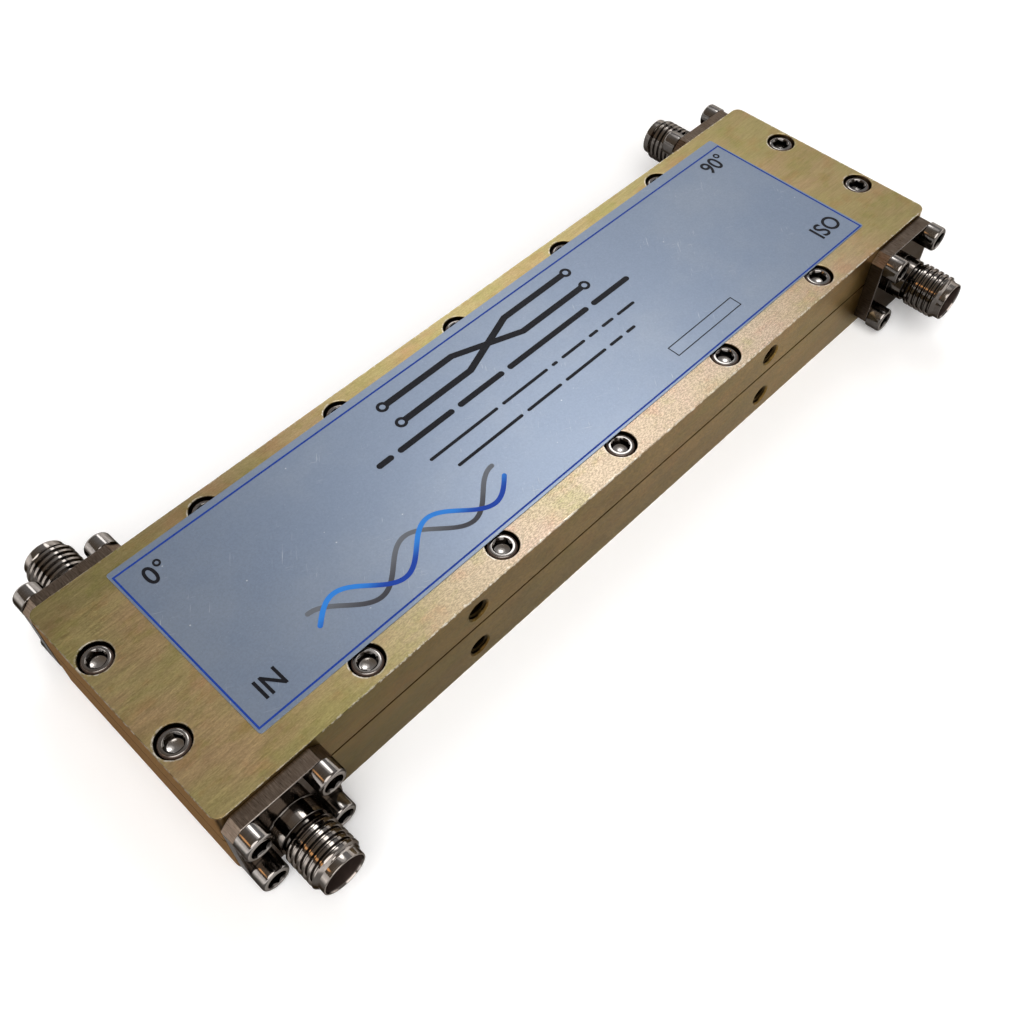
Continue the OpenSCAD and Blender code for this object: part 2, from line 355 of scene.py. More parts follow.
def carve(target: Object, tools: Sequence[Object], operation: str = "DIFFERENCE") -> None:
    """Cuts tools out of an object, or joins them to it, and removes the tools.

    Args:
        target: The object that changes.
        tools: Closed objects.
        operation: Name of the boolean operation.
    """
    for tool in tools:
        modifier = target.modifiers.new("shape", "BOOLEAN")
        modifier.solver = "EXACT"
        modifier.operation = operation
        modifier.object = tool
    bake(target)
    for tool in tools:
        bpy.data.objects.remove(tool)


def smooth(target: Object, sharp_deg: float = 32.0) -> None:
    """Shades an object smooth up to an angle, with flat faces kept flat.

    Args:
        target: The object.
        sharp_deg: Angle in degrees from which an edge is sharp.
    """
    target.data.shade_smooth()
    target.data.set_sharp_from_angle(angle=math.radians(sharp_deg))
    modifier = target.modifiers.new("shade", "WEIGHTED_NORMAL")
    modifier.keep_sharp = True
    modifier.weight = 100
    bake(target)


def repeated(name: str, pattern: Object, places: Sequence[Matrix]) -> Object:
    """Joins copies of a pattern into one piece in metres, and removes the pattern.

    Args:
        name: Name of the piece.
        pattern: An object in millimetres, in its own coordinates.
        places: Where each copy goes, in millimetres in the row frame.

    Returns:
        The piece. Its attribute "local" holds each point in the pattern's own coordinates.
    """
    own = [tuple(v.co) for v in pattern.data.vertices]
    single = Shell(own, [tuple(p.vertices) for p in pattern.data.polygons])
    joined = Shell()
    for place in places:
        joined.add(single, place)
    mesh = bpy.data.meshes.new(name)
    mesh.from_pydata([tuple(Vector(p) * MM) for p in joined.points], [], joined.faces)
    attribute = mesh.attributes.new(LOCAL, "FLOAT_VECTOR", "POINT")
    attribute.data.foreach_set("vector", [value * MM for _ in places for point in own for value in point])
    made = linked(name, mesh)
    bpy.data.objects.remove(pattern)
    return made


def to_metres(target: Object) -> None:
    """Scales the mesh of an object from millimetres to metres."""
    target.data.transform(Matrix.Scale(MM, 4))


def node_box(name: str) -> tuple[Vector, Vector]:
    """Lowest and highest corner of a CAD node, in millimetres."""
    low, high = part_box(name)
    return low / MM, high / MM


def hand_in(piece: Object, finish: Material, slot: str, *nodes: str) -> None:
    """Dresses a piece and ties it to the frame.

    Args:
        piece: The finished piece, in metres.
        finish: Its material.
        slot: Not used.
        nodes: The CAD nodes that the piece stands for.
    """
    piece.data.materials.clear()
    piece.data.materials.append(finish)
    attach(piece, BODY)
    if nodes:
        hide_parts(*nodes)
    log.info("%s: %d faces", piece.name, len(piece.data.polygons))


# Shader nodes

@dataclass(frozen=True)
class Reading:
    """What a shader node puts out, with the board that further nodes go on.

    A sum of readings places the nodes that work it out. The usual signs stand for their nodes, | takes the
    higher of two numbers and & the lower.
    """

    board: NodeBoard
    socket: Socket

    @property
    def many(self) -> bool:
        """Whether this is a vector or a colour."""
        return self.socket.type in ("VECTOR", "RGBA")

    def worked(self, operation: str, *values: object) -> Reading:
        """Result of an operation on numbers, or on vectors where this is one."""
        work = self.board.vector if self.many else self.board.math
        return work(operation, *values)

    def __add__(self, other: object) -> Reading:
        """Sum with a number, a vector or a reading."""
        return self.worked("ADD", self, other)

    def __radd__(self, other: object) -> Reading:
        """Sum that starts with a plain value."""
        return self.worked("ADD", other, self)

    def __sub__(self, other: object) -> Reading:
        """Difference from this reading."""
        return self.worked("SUBTRACT", self, other)

    def __rsub__(self, other: object) -> Reading:
        """Difference from a plain value."""
        return self.worked("SUBTRACT", other, self)

    def __mul__(self, other: object) -> Reading:
        """Product. A number scales a vector or colour, and a tuple multiplies it part by part."""
        scales = self.many and not isinstance(other, tuple)
        return self.board.scaled(self, other) if scales else self.worked("MULTIPLY", self, other)

    def __rmul__(self, other: float) -> Reading:
        """Product that starts with a plain number."""
        return self.board.math("MULTIPLY", other, self)

    def __truediv__(self, other: object) -> Reading:
        """This reading divided by another one or by a number."""
        return self.worked("DIVIDE", self, other)

    def __rtruediv__(self, other: float) -> Reading:
        """A plain number divided by this reading."""
        return self.worked("DIVIDE", other, self)

    def __abs__(self) -> Reading:
        """Size without its sign."""
        return self.worked("ABSOLUTE", self)

    def __or__(self, other: object) -> Reading:
        """The higher of two numbers, which joins two masks."""
        return self.board.math("MAXIMUM", self, other)

    def __and__(self, other: object) -> Reading:
        """The lower of two numbers."""
        return self.board.math("MINIMUM", self, other)

    def below(self, limit: object) -> Reading:
        """1 where a number is below a limit, and 0 elsewhere."""
        return self.board.math("LESS_THAN", self, limit)

    def above(self, limit: object) -> Reading:
        """1 where a number is above a limit, and 0 elsewhere."""
        return self.board.math("GREATER_THAN", self, limit)

    def by(self, operation: str) -> Reading:
        """Result of a math node that takes one number."""
        return self.board.math(operation, self)

    def length(self) -> Reading:
        """Length of a vector."""
        return self.board.vector("LENGTH", self)

    def parts(self) -> tuple[Reading, ...]:
        """The three numbers of a vector."""
        node = self.board.place("ShaderNodeSeparateXYZ", {0: self})
        return tuple(Reading(self.board, socket) for socket in node.outputs)

    def ramp(self, low: object, high: object, to_low: float = 0.0, to_high: float = 1.0) -> Reading:
        """Takes a number smoothly from to_low, at low, to to_high, at high. Low may lie above high."""
        ends = {"Value": self, "From Min": low, "From Max": high, "To Min": to_low, "To Max": to_high}
        return self.board.read(self.board.place("ShaderNodeMapRange", ends, interpolation_type="SMOOTHSTEP"))

    def fade(self, share: float) -> Reading:
        """1 where a mask is 0, and a given share where it is 1."""
        return self.ramp(0.0, 1.0, 1.0, share)


@dataclass(frozen=True)
class NodeBoard:
    """A short way to place and join shader nodes in one tree."""

    tree: bpy.types.NodeTree

    def place(self, kind: str, inputs: Inputs | None = None, **settings: object) -> Node:
        """Adds a node.

        Args:
            kind: The node's type.
            inputs: What its inputs get, by their names or numbers.
            settings: Values of the node's own settings.

        Returns:
            The node.
        """
        node = self.tree.nodes.new(kind)
        for name, value in settings.items():
            setattr(node, name, value)
        self.fill(node, inputs or {})
        return node

    def fill(self, node: Node, inputs: Inputs) -> None:
        """Links inputs of a node to readings, or gives them plain values.

        Args:
            node: The node.
            inputs: Readings and values by the inputs' names or numbers.
        """
        for key, value in inputs.items():
            if isinstance(value, Reading):
                self.tree.links.new(value.socket, node.inputs[key])
            else:
                node.inputs[key].default_value = value

    def read(self, node: Node, output: int | str = 0) -> Reading:
        """One of a node's outputs."""
        return Reading(self, node.outputs[output])

    def math(self, operation: str, *values: object, clamp: bool = False) -> Reading:
        """Result of a math node on numbers."""
        node = self.place("ShaderNodeMath", dict(enumerate(values)), operation=operation, use_clamp=clamp)
        return self.read(node)

    def vector(self, operation: str, *values: object) -> Reading:
        """Result of a vector math node on vectors."""
        node = self.place("ShaderNodeVectorMath", dict(enumerate(values)), operation=operation)
        return self.read(node, "Value" if operation in ("LENGTH", "DOT_PRODUCT") else "Vector")

    def scaled(self, vector: object, factor: object) -> Reading:
        """A vector times a number."""
        return self.read(self.place("ShaderNodeVectorMath", {0: vector, "Scale": factor}, operation="SCALE"))

    def joined(self, x: object, y: object, z: object) -> Reading:
        """A vector from three numbers."""
        return self.read(self.place("ShaderNodeCombineXYZ", {0: x, 1: y, 2: z}))

    def noise(self, vector: Reading, scale: object, detail: float, rough: float) -> Reading:
        """Value of a noise texture."""
        inputs = {"Vector": vector, "Scale": scale, "Detail": detail, "Roughness": rough}
        return self.read(self.place("ShaderNodeTexNoise", inputs))

    def tint(self, factor: object, first: object, second: object, mode: str = "MIX") -> Reading:
        """Mixes two colours.

        Args:
            factor: Share of the second colour.
            first: A colour or a reading.
            second: A colour or a reading.
            mode: Name of the blend mode.

        Returns:
            The mixed colour.
        """
        first, second = ((*c, 1.0) if isinstance(c, tuple) else c for c in (first, second))
        inputs = {0: factor, 6: first, 7: second}
        return self.read(self.place("ShaderNodeMix", inputs, data_type="RGBA", blend_type=mode), 2)

    def chosen(self, share: Reading, first: Reading, second: Reading) -> Reading:
        """Chooses between two numbers or two vectors.

        Args:
            share: 0 for the first one and 1 for the second.
            first: A number or a vector.
            second: Another one of the same kind.

        Returns:
            The chosen one.
        """
        kind, slot, output = ("VECTOR", 4, 1) if first.many else ("FLOAT", 2, 0)
        inputs = {0: share, slot: first, slot + 1: second}
        return self.read(self.place("ShaderNodeMix", inputs, data_type=kind), output)

    def millimetres(self, attribute: str | None = None) -> Reading:
        """A place on the object, in millimetres.

        Args:
            attribute: Name of the stored attribute to read, or None for the object's own coordinates.

        Returns:
            The place.
        """
        if attribute is None:
            source = self.read(self.place("ShaderNodeTexCoord"), "Object")
        else:
            source = self.read(self.place("ShaderNodeAttribute", attribute_name=attribute), "Vector")
        return source * (1.0 / MM)

    def normal(self) -> Reading:
        """The way that the surface faces."""
        return self.read(self.place("ShaderNodeNewGeometry"), "Normal")

    def effect(self, effect: type[Effect], **inputs: object) -> Reading:
        """The output of an effect's group, with an underscore for each space in its inputs' names."""
        return self.read(self.place("ShaderNodeGroup", spaced(inputs), node_tree=effect.tree()))

    def bump(self, height: Reading, distance_mm: float) -> Reading:
        """A normal from a height map."""
        return self.read(self.place("ShaderNodeBump", {"Distance": distance_mm * MM, "Height": height}))


def spaced(inputs: dict[str, object]) -> dict[str, object]:
    """Gives the names of inputs their spaces back."""
    return {name.replace("_", " "): value for name, value in inputs.items()}


class Effect:
    """A shader node group that several materials share. It is built once."""

    title: ClassVar[str] = ""
    numbers: ClassVar[dict[str, float]] = {}
    vectors: ClassVar[dict[str, Point3]] = {}
    output: ClassVar[str] = "Mask"
    _trees: ClassVar[dict[str, bpy.types.NodeTree]] = {}

    @classmethod
    def tree(cls) -> bpy.types.NodeTree:
        """The group, built on first use.

        Returns:
            The group's node tree.
        """
        if cls.title not in Effect._trees:
            group = bpy.data.node_groups.new(cls.title, "ShaderNodeTree")
            sockets = group.interface
            sockets.new_socket("Vector", in_out="INPUT", socket_type="NodeSocketVector")
            for kind, inputs in (("NodeSocketFloat", cls.numbers), ("NodeSocketVector", cls.vectors)):
                for name, value in inputs.items():
                    sockets.new_socket(name, in_out="INPUT", socket_type=kind).default_value = value
            sockets.new_socket(cls.output, in_out="OUTPUT", socket_type="NodeSocketFloat")
            board = NodeBoard(group)
            entry = board.place("NodeGroupInput")
            given = {name: board.read(entry, name) for name in ("Vector", *cls.numbers, *cls.vectors)}
            board.place("NodeGroupOutput", {0: cls.wire(board, given)})
            Effect._trees[cls.title] = group
        return Effect._trees[cls.title]

    @classmethod
    def wire(cls, board: NodeBoard, given: dict[str, Reading]) -> Reading:
        """Builds the inside of the group from its inputs by name, and gives what it puts out."""
        raise NotImplementedError


class Clouds(Effect):
    """Soft patches, for uneven plating, haze and stains."""

    title = "clouds"
    numbers = {"Size": 10.0, "Low": 0.4, "High": 0.65}
    vectors = {"Stretch": (1.0, 1.0, 1.0)}

    @classmethod
    def wire(cls, board: NodeBoard, given: dict[str, Reading]) -> Reading:
        """Noise over stretched coordinates, cut to a soft mask."""
        cloud = board.noise(given["Vector"] / given["Stretch"], 1.0 / given["Size"], 4.0, 0.6)
        return cloud.ramp(given["Low"], given["High"])


class Grain(Effect):
    """Fine parallel lines, as a brush or an end mill leaves them."""

    title = "grain"
    numbers = {"Fineness": 3.0}
    vectors = {"Run": (20.0, 1.0, 1.0)}
    output = "Height"

    @classmethod
    def wire(cls, board: NodeBoard, given: dict[str, Reading]) -> Reading:
        """Two noises of different length along the run of the lines.

        Args:
            board: Where the nodes go.
            given: The group's inputs by name.

        Returns:
            The height of the lines.
        """
        placed = given["Vector"] / given["Run"]
        long_lines = board.noise(placed, given["Fineness"], 2.0, 0.6)
        short_lines = board.noise(placed * (3.0, 2.3, 2.3), given["Fineness"], 1.0, 0.5)
        return long_lines * 0.6 + short_lines * 0.4


class Turning(Effect):
    """Fine rings round the Z axis, as a lathe leaves them."""

    title = "turning"
    numbers = {"Fineness": 8.0}
    output = "Height"

    @classmethod
    def wire(cls, board: NodeBoard, given: dict[str, Reading]) -> Reading:
        """Noise over radius and height only, with a slow change round the axis.

        Args:
            board: Where the nodes go.
            given: The group's inputs by name.

        Returns:
            The height of the rings.
        """
        x, y, z = given["Vector"].parts()
        radius = (x * x + y * y).by("SQRT")
        return board.noise(board.joined(radius, z, x * 0.02), given["Fineness"], 2.0, 0.7)


class EdgeWear(Effect):
    """A broken band along the edges of a box."""

    title = "edge_wear"
    numbers = {"Width": 0.5, "Breakup": 1.0}
    vectors = {"Centre": (0.0, 0.0, 0.0), "Half Size": (1.0, 1.0, 1.0)}

    @classmethod
    def wire(cls, board: NodeBoard, given: dict[str, Reading]) -> Reading:
        """The second smallest of the three distances to the faces is small only near an edge.

        Args:
            board: Where the nodes go.
            given: The group's inputs by name.

        Returns:
            The mask.
        """
        a, b, c = (given["Half Size"] - abs(given["Vector"] - given["Centre"])).parts()
        low, high = a & b, a | b
        second = low | (high & c)
        broken = board.noise(given["Vector"], given["Breakup"], 5.0, 0.7)
        reach = given["Width"] * broken.ramp(0.46, 0.68)
        return 1.0 - (second / (reach | 0.001)).ramp(0.6, 1.0)


class Specks(Effect):
    """Small scattered dots, for dust, pits and flakes."""

    title = "specks"
    numbers = {"Spacing": 1.0, "Size": 0.1, "Share": 0.5}

    @classmethod
    def wire(cls, board: NodeBoard, given: dict[str, Reading]) -> Reading:
        """Dots at the points of a Voronoi texture, of which a share is kept.

        Args:
            board: Where the nodes go.
            given: The group's inputs by name.

        Returns:
            The mask.
        """
        inputs = {"Vector": given["Vector"], "Scale": 1.0 / given["Spacing"]}
        cells = board.place("ShaderNodeTexVoronoi", inputs)
        drawn = board.place("ShaderNodeSeparateColor", {0: board.read(cells, "Color")})
        dot = board.read(cells, "Distance").ramp(given["Size"], given["Size"] * 0.4)
        return dot * board.read(drawn).below(given["Share"])


class Scratches(Effect):
    """Thin light lines in one direction of the XY plane."""

    title = "scratches"
    numbers = {"Angle": 0.0, "Length": 6.0, "Spacing": 0.4, "Share": 0.7}

    @classmethod
    def wire(cls, board: NodeBoard, given: dict[str, Reading]) -> Reading:
        """The peaks of a noise that is drawn out along the angle.

        Args:
            board: Where the nodes go.
            given: The group's inputs by name.

        Returns:
            The mask.
        """
        way = {"Vector": given["Vector"], "Angle": given["Angle"]}
        x, y, z = board.read(board.place("ShaderNodeVectorRotate", way, rotation_type="Z_AXIS")).parts()
        line = board.noise(board.joined(x / given["Length"], y / given["Spacing"], z), 1.0, 1.0, 0.5)
        return line.ramp(given["Share"], given["Share"] + 0.06)


def new_material(name: str, **plain: object) -> tuple[Material, NodeBoard, Node]:
    """Starts a material.

    Args:
        name: Its name.
        plain: Values of the shader's own inputs, with an underscore for each space in their names.

    Returns:
        The material, a board for its nodes and its Principled shader.
    """
    made = bpy.data.materials.new(name)
    made.use_nodes = True
    board = NodeBoard(made.node_tree)
    shader = made.node_tree.nodes["Principled BSDF"]
    board.fill(shader, spaced(plain))
    return made, board, shader


@dataclass(frozen=True)
class GoldAluminium:
    """Milled aluminium with a pale gold conversion coat: cloudy tints, fine grain along X and worn edges.

    The seats give it the places of edges, seam and screws. Sizes are in millimetres. A pair is the two ends
    of a ramp: where it starts and ends, or the share of light or of wear at its start and end.
    """

    seats: Seats
    gold: Colour = (0.455, 0.365, 0.165)
    pink: Colour = (0.50, 0.345, 0.185)
    green: Colour = (0.87, 0.93, 0.78)
    painted_sheen: Colour = (0.79, 0.62, 0.54)
    rose: Colour = (1.0, 0.88, 0.86)
    olive: Colour = (0.85, 0.92, 0.76)
    # Painted shade: side is the darker colour of the upright faces.
    side: Colour = (0.34, 0.26, 0.115)
    # Painted dark reflection: end is the dull brown of the end faces.
    end: Colour = (0.17, 0.095, 0.04)
    # worn is the colour of the wear chips and also of the painted edge and rim highlights.
    worn: Colour = (0.76, 0.71, 0.61)
    pit: Colour = (0.13, 0.09, 0.05)
    joint: Colour = (0.018, 0.010, 0.003)
    edge_tint: Colour = (0.94, 0.91, 0.80)
    joint_reach: Point2 = (0.20, 0.14)
    deep: Point2 = (0.04, 0.35)
    deep_painted_shade: float = 0.15
    rounding_x: Point2 = (-15.0, -50.0)
    rounding_painted_shade: float = 0.25
    side_painted_light: Point2 = (0.58, 1.12)
    side_stain: Point2 = (0.88, 1.08)
    foot_z: Point2 = (1.0, 8.5)
    foot_painted_shade: Point2 = (0.84, 1.0)
    end_reach: Point2 = (0.9, 0.15)
    end_light: Point2 = (0.8, 1.15)
    back_y: Point2 = (11.0, 15.0)
    back_x: Point2 = (-10.0, -40.0)
    back_painted_shade: float = 0.82
    far_x: Point2 = (30.0, 62.0)
    far_painted_shade: Point2 = (1.0, 0.82)
    grain_light: Point2 = (0.84, 1.08)
    pale_y: Point2 = (-5.0, -13.0)
    pale_middle_x: float = 4.0
    pale_reach: Point2 = (52.0, 22.0)
    wear_x: Point2 = (-52.0, -30.0)
    wear_share: Point2 = (0.35, 1.0)
    ring_r: float = 2.15
    ring_reach: Point2 = (0.14, 0.05)
    ring_side: Point2 = (1.5, -2.2)
    ring_share: Point2 = (0.25, 1.0)
    pit_share: float = 0.6
    roughness: Point2 = (0.33, 0.43)

    def material(self) -> Material:
        """Builds the material.

        Returns:
            The material.
        """
        made, board, shader = new_material(
            "gold_aluminium", Metallic=1.0, Specular_IOR_Level=0.0, Specular_Tint=(*self.edge_tint, 1.0))
        half_length, top_z = self.seats.half_length, self.seats.top_z
        here = board.millimetres()
        x, _, z = here.parts()
        lines = board.effect(Grain, Vector=here, Fineness=4.5, Run=(12.0, 1.0, 1.0))
        pits = board.effect(Specks, Vector=here, Spacing=0.55, Size=0.12, Share=0.4)
        level = abs(board.normal().parts()[2])
        upright = level.ramp(0.6, 0.2)
        # Painted shade: rounded edges darken towards the input end.
        rounding = level.ramp(0.98, 0.9) * level.ramp(0.15, 0.4) * x.ramp(*self.rounding_x)
        colour = board.tint(pits * self.pit_share, self.tints(board, here, lines), self.pit)
        # Painted shade: upright faces, and places away from the top and bottom faces, take the darker side
        # colour, lighter towards +X and darker towards the bottom, with random stains.
        sides = board.tint(1.0, colour, self.side, mode="MULTIPLY")
        sides = sides * x.ramp(-half_length, half_length, *self.side_painted_light)
        stain = board.effect(Clouds, Vector=here, Size=3.5, Low=0.3, High=0.7, Stretch=(2.0, 1.0, 1.0))
        sides = sides * (stain.ramp(0.0, 1.0, *self.side_stain) * z.ramp(*self.foot_z, *self.foot_painted_shade))
        below = z & (top_z - z)
        colour = board.tint(upright | below.ramp(0.15, 0.35), colour, sides)
        # Painted dark reflection: the end faces turn a dull dark brown with grain.
        at_end = (half_length - abs(x)).ramp(*self.end_reach) * upright
        end_painted_reflection = board.joined(*self.end) * lines.ramp(*MOST, *self.end_light)
        colour = board.tint(at_end, colour, end_painted_reflection) * rounding.fade(self.rounding_painted_shade)
        # Wear chips, painted edge highlight lines and painted highlight crescents on the counterbore rims
        # lighten towards the worn colour.
        wear = self.wear(board, here)
        colour = board.tint(wear | self.screw_rings(board, here), colour, self.worn)
        joint = abs(z - self.seats.seam_z).ramp(*self.joint_reach)
        colour = board.tint(joint, colour, self.joint)
        dull = joint | at_end
        # Painted shade: the colour darkens with depth below the outer faces, in bores, pocket and
        # counterbores.
        board.fill(shader, {
            "Base Color": colour * self.depth(here).ramp(*self.deep, 1.0, self.deep_painted_shade),
            "Metallic": 1.0 - dull * 0.92,
            "Roughness": lines.ramp(0.25, 0.75, *self.roughness) + dull * 0.25 - wear * 0.12,
            "Normal": board.bump(lines - pits * self.pit_share, 0.010),
        })
        return made

    def tints(self, board: NodeBoard, here: Reading, lines: Reading) -> Reading:
        """The cloudy colour of the coat, with a painted sheen along the middle of the front edge and painted
        shade towards the far end and at the back.

        Args:
            board: Where the nodes go.
            here: The place on the housing.
            lines: Height of the grain.

        Returns:
            The colour.
        """
        x, y, _ = here.parts()
        pinkish = board.effect(Clouds, Vector=here, Size=6.0, Low=0.40, High=0.68, Stretch=(2.2, 1.0, 1.0))
        greenish = board.effect(
            Clouds, Vector=here + (40.0, 7.0, 3.0), Size=9.0, Low=0.45, High=0.68, Stretch=(1.8, 1.0, 1.0))
        mottle = board.effect(Clouds, Vector=here, Size=0.14, Low=0.34, High=0.66, Stretch=(2.4, 1.0, 1.0))
        colour = board.tint(pinkish * 0.9, self.gold, self.pink)
        # Painted sheen: a paler, less golden patch along the front strip where the sheen peaks, with stronger
        # speckle.
        pale = y.ramp(*self.pale_y) * abs(x - self.pale_middle_x).ramp(*self.pale_reach)
        colour = board.tint(pale * 0.5, colour, self.painted_sheen)
        colour = board.tint(greenish * 0.7, colour, self.green, mode="MULTIPLY")
        for stain, offset in ((self.rose, (11.0, 3.0, 5.0)), (self.olive, (27.0, 9.0, 1.0))):
            patch = board.effect(
                Clouds, Vector=here + offset, Size=2.8, Low=0.5, High=0.68, Stretch=(1.5, 1.0, 1.0))
            colour = board.tint(patch * 0.8, colour, stain, mode="MULTIPLY")
        contrast = pale * 0.19 + x.ramp(10.0, 50.0, 0.10, 0.04)
        speckle = 1.06 - contrast * mottle.ramp(0.0, 1.0, 1.6, 0.0)
        # Painted shade: darker towards the far end, and on the back strip towards the input end.
        back_shade_mask = y.ramp(*self.back_y) * x.ramp(*self.back_x)
        colour = colour * x.ramp(*self.far_x, *self.far_painted_shade) * back_shade_mask.fade(self.back_painted_shade)
        return colour * (lines.ramp(*MOST, *self.grain_light) * speckle)

    def wear(self, board: NodeBoard, here: Reading) -> Reading:
        """Chips along the edges, which are wear, and a fainter finer line beside them, which is a painted
        edge highlight.

        Args:
            board: Where the nodes go.
            here: The place on the housing.

        Returns:
            The mask of the wear and of the painted highlight.
        """
        half = (self.seats.half_length, self.seats.half_width, self.seats.top_z / 2)
        box = {"Centre": (0.0, 0.0, half[2]), "Half_Size": half}
        chips = board.effect(EdgeWear, Vector=here, Width=0.24, Breakup=1.1, **box)
        fine = board.effect(EdgeWear, Vector=here, Width=0.42, Breakup=1.9, **box)
        worn = (chips * 0.8) | (fine * 0.55)
        return worn * here.parts()[0].ramp(*self.wear_x, *self.wear_share)

    def screw_rings(self, board: NodeBoard, here: Reading) -> Reading:
        """Lighter rings round the counterbores: rubbed wear, with a painted highlight strongest on each
        ring's side towards the input port.

        Args:
            board: Where the nodes go.
            here: The place on the housing.

        Returns:
            The mask of the rings.
        """
        s = self.seats
        x, y, _ = here.parts()
        far_x, far_y = abs(x), abs(y)
        row_x = x - s.row_pitch * (x / s.row_pitch).by("ROUND")
        end_x = (far_x - (s.half_length - s.end_inset)) * x.by("SIGN")
        in_row = board.joined(row_x, far_y - (s.half_width - s.row_inset), 0.0)
        at_end = board.joined(end_x, far_y - s.end_spacing / 2, 0.0)
        offset = board.chosen(far_x.above(2.5 * s.row_pitch), in_row, at_end)
        ring = abs(offset.length() - self.ring_r).ramp(*self.ring_reach)
        broken = board.noise(here, 1.6, 4.0, 0.7).ramp(0.42, 0.6)
        # Painted highlight: each ring is strongest on its side towards the input port.
        return ring * broken * offset.parts()[0].ramp(*self.ring_side, *self.ring_share)

    def depth(self, here: Reading) -> Reading:
        """How far a point lies below the nearest outer face.

        Args:
            here: The place on the housing.

        Returns:
            The depth.
        """
        middle = self.seats.top_z / 2
        half = (self.seats.half_length, self.seats.half_width, middle)
        a, b, c = (half - abs(here - (0.0, 0.0, middle))).parts()
        return a & (b & c)


@dataclass(frozen=True)
class TurnedSteel:
    """Stainless steel from the lathe, brushed on the flange, with painted shade: browner on the flange and
    dark inside the bore.

    Heights and radii are in millimetres along and round the piece's own axis. A painted shade is the share of
    the colour kept where shade is painted in: in corners and on faces that look down; above 1 it is a painted
    highlight. A pair of radii or heights is where a ramp starts and ends.
    """

    name: str
    steel: Colour = (0.29, 0.26, 0.235)
    stain: Colour = (0.20, 0.165, 0.14)
    roughness: Point2 = (0.07, 0.15)
    ring_depth: float = 0.0003
    # Painted shade: flange browns and darkens the flange.
    flange: Colour = (0.60, 0.51, 0.43)
    flange_top: float = 2.0
    # Painted shade: bore darkens the inside of the barrel, and the sunk shoulders of the screw heads.
    bore: Colour = (0.030, 0.021, 0.018)
    bore_r: float = 2.52
    painted_shade_shoulder: Point2 = (FAR, FAR)
    edge_tint: Colour = (0.30, 0.293, 0.287)
    socket_z: float = -20.0
    bowl_edge: Point2 = (0.95, 0.9)
    wall_inside: Point2 = (0.88, 0.95)
    wall_outside: Point2 = (1.27, 1.23)
    marks_contrast: Point2 = (0.07, 0.34)
    foot_z: Point2 = (2.02, 2.3)
    groove_z: float = 4.3
    crease_shade_r: float = 2.4
    face_painted_shade: float = 0.5
    under_painted_shade: float = 0.28
    wall_painted_shade: float = 0.3
    bowl_painted_highlight: float = 1.45
    crease_painted_shade: float = 0.35

    def material(self) -> Material:
        """Builds the material.

        Returns:
            The material.
        """
        made, board, shader = new_material(
            self.name, Metallic=1.0, Specular_IOR_Level=0.0, Specular_Tint=(*self.edge_tint, 1.0))
        here, own = board.millimetres(), board.millimetres(LOCAL)
        x, y, z = own.parts()
        rings = board.effect(Turning, Vector=own, Fineness=9.0)
        brushed = board.effect(Grain, Vector=own, Fineness=7.0, Run=(1.0, 1.0, 10.0))
        stains = board.effect(Clouds, Vector=here, Size=2.5, Low=0.42, High=0.75)
        on_flange = z.below(self.flange_top - 0.08)
        marks = board.chosen(on_flange, rings, brushed)
        colour = board.tint(stains * 0.6, self.steel, self.stain)
        contrast = on_flange.ramp(0.0, 1.0, *self.marks_contrast)
        colour = colour * (1.0 + (marks.ramp(0.32, 0.72, 0.0, 2.0) - 1.0) * contrast)
        # Painted shade: the flange is browner and darker.
        colour = board.tint(on_flange, colour, board.tint(1.0, colour, self.flange, mode="MULTIPLY"))
        radius = board.joined(x, y, 0.0).length()
        # Painted shade on the socket walls and a painted highlight in the bowl at the socket's floor; painted
        # shade on the flange's face and on faces that look down.
        in_socket = z.ramp(self.socket_z, self.socket_z - 0.1)
        bowl = radius.ramp(*self.bowl_edge) * in_socket
        wall_shade_mask = radius.ramp(*self.wall_inside) * radius.ramp(*self.wall_outside) * in_socket
        colour = colour * self.painted_facing_shade(board, z) * wall_shade_mask.fade(self.wall_painted_shade) * bowl.fade(self.bowl_painted_highlight)
        # Painted shade in the fillet at the flange's foot and in the groove.
        foot = z.ramp(self.foot_z[1], self.foot_z[1] - 0.1) * z.above(self.foot_z[0])
        crease_shade = (foot | abs(z - self.groove_z).ramp(0.34, 0.28)) * radius.above(self.crease_shade_r)
        colour = colour * crease_shade.fade(self.crease_painted_shade)
        # Painted shade: the bore inside the barrel is nearly black and dull.
        inside = radius.ramp(self.bore_r, self.bore_r - 0.08) * z.above(self.flange_top)
        # Painted shade: the screw heads' shoulders, sunk in their counterbores, turn dark and dull.
        shoulder_r, shoulder_z = self.painted_shade_shoulder
        shoulder_shade = radius.ramp(shoulder_r, shoulder_r + 0.12) * here.parts()[2].above(shoulder_z)
        dull = inside | shoulder_shade
        rough = marks.ramp(0.3, 0.75, *self.roughness) + on_flange * 0.20
        board.fill(shader, {
            "Base Color": board.tint(dull, colour, self.bore),
            "Metallic": 1.0 - dull * 0.85,
            "Roughness": rough + dull * 0.13 + bowl * 0.05,
            "Normal": board.bump(marks * (1.0 + on_flange * 17.0), self.ring_depth),
        })
        return made

    def painted_facing_shade(self, board: NodeBoard, z: Reading) -> Reading:
        """Painted shade on the flange's face and on what looks down.

        Args:
            board: Where the nodes go.
            z: Height along the piece's own axis.

        Returns:
            The share of the light.
        """
        _, across, up = board.normal().parts()
        outward = abs(across).ramp(0.8, 0.95)
        face = z.below(self.flange_top + 0.05) * outward
        under_shade_mask = up.ramp(0.68, 0.48) * (1.0 - outward)
        return face.fade(self.face_painted_shade) * under_shade_mask.fade(self.under_painted_shade)


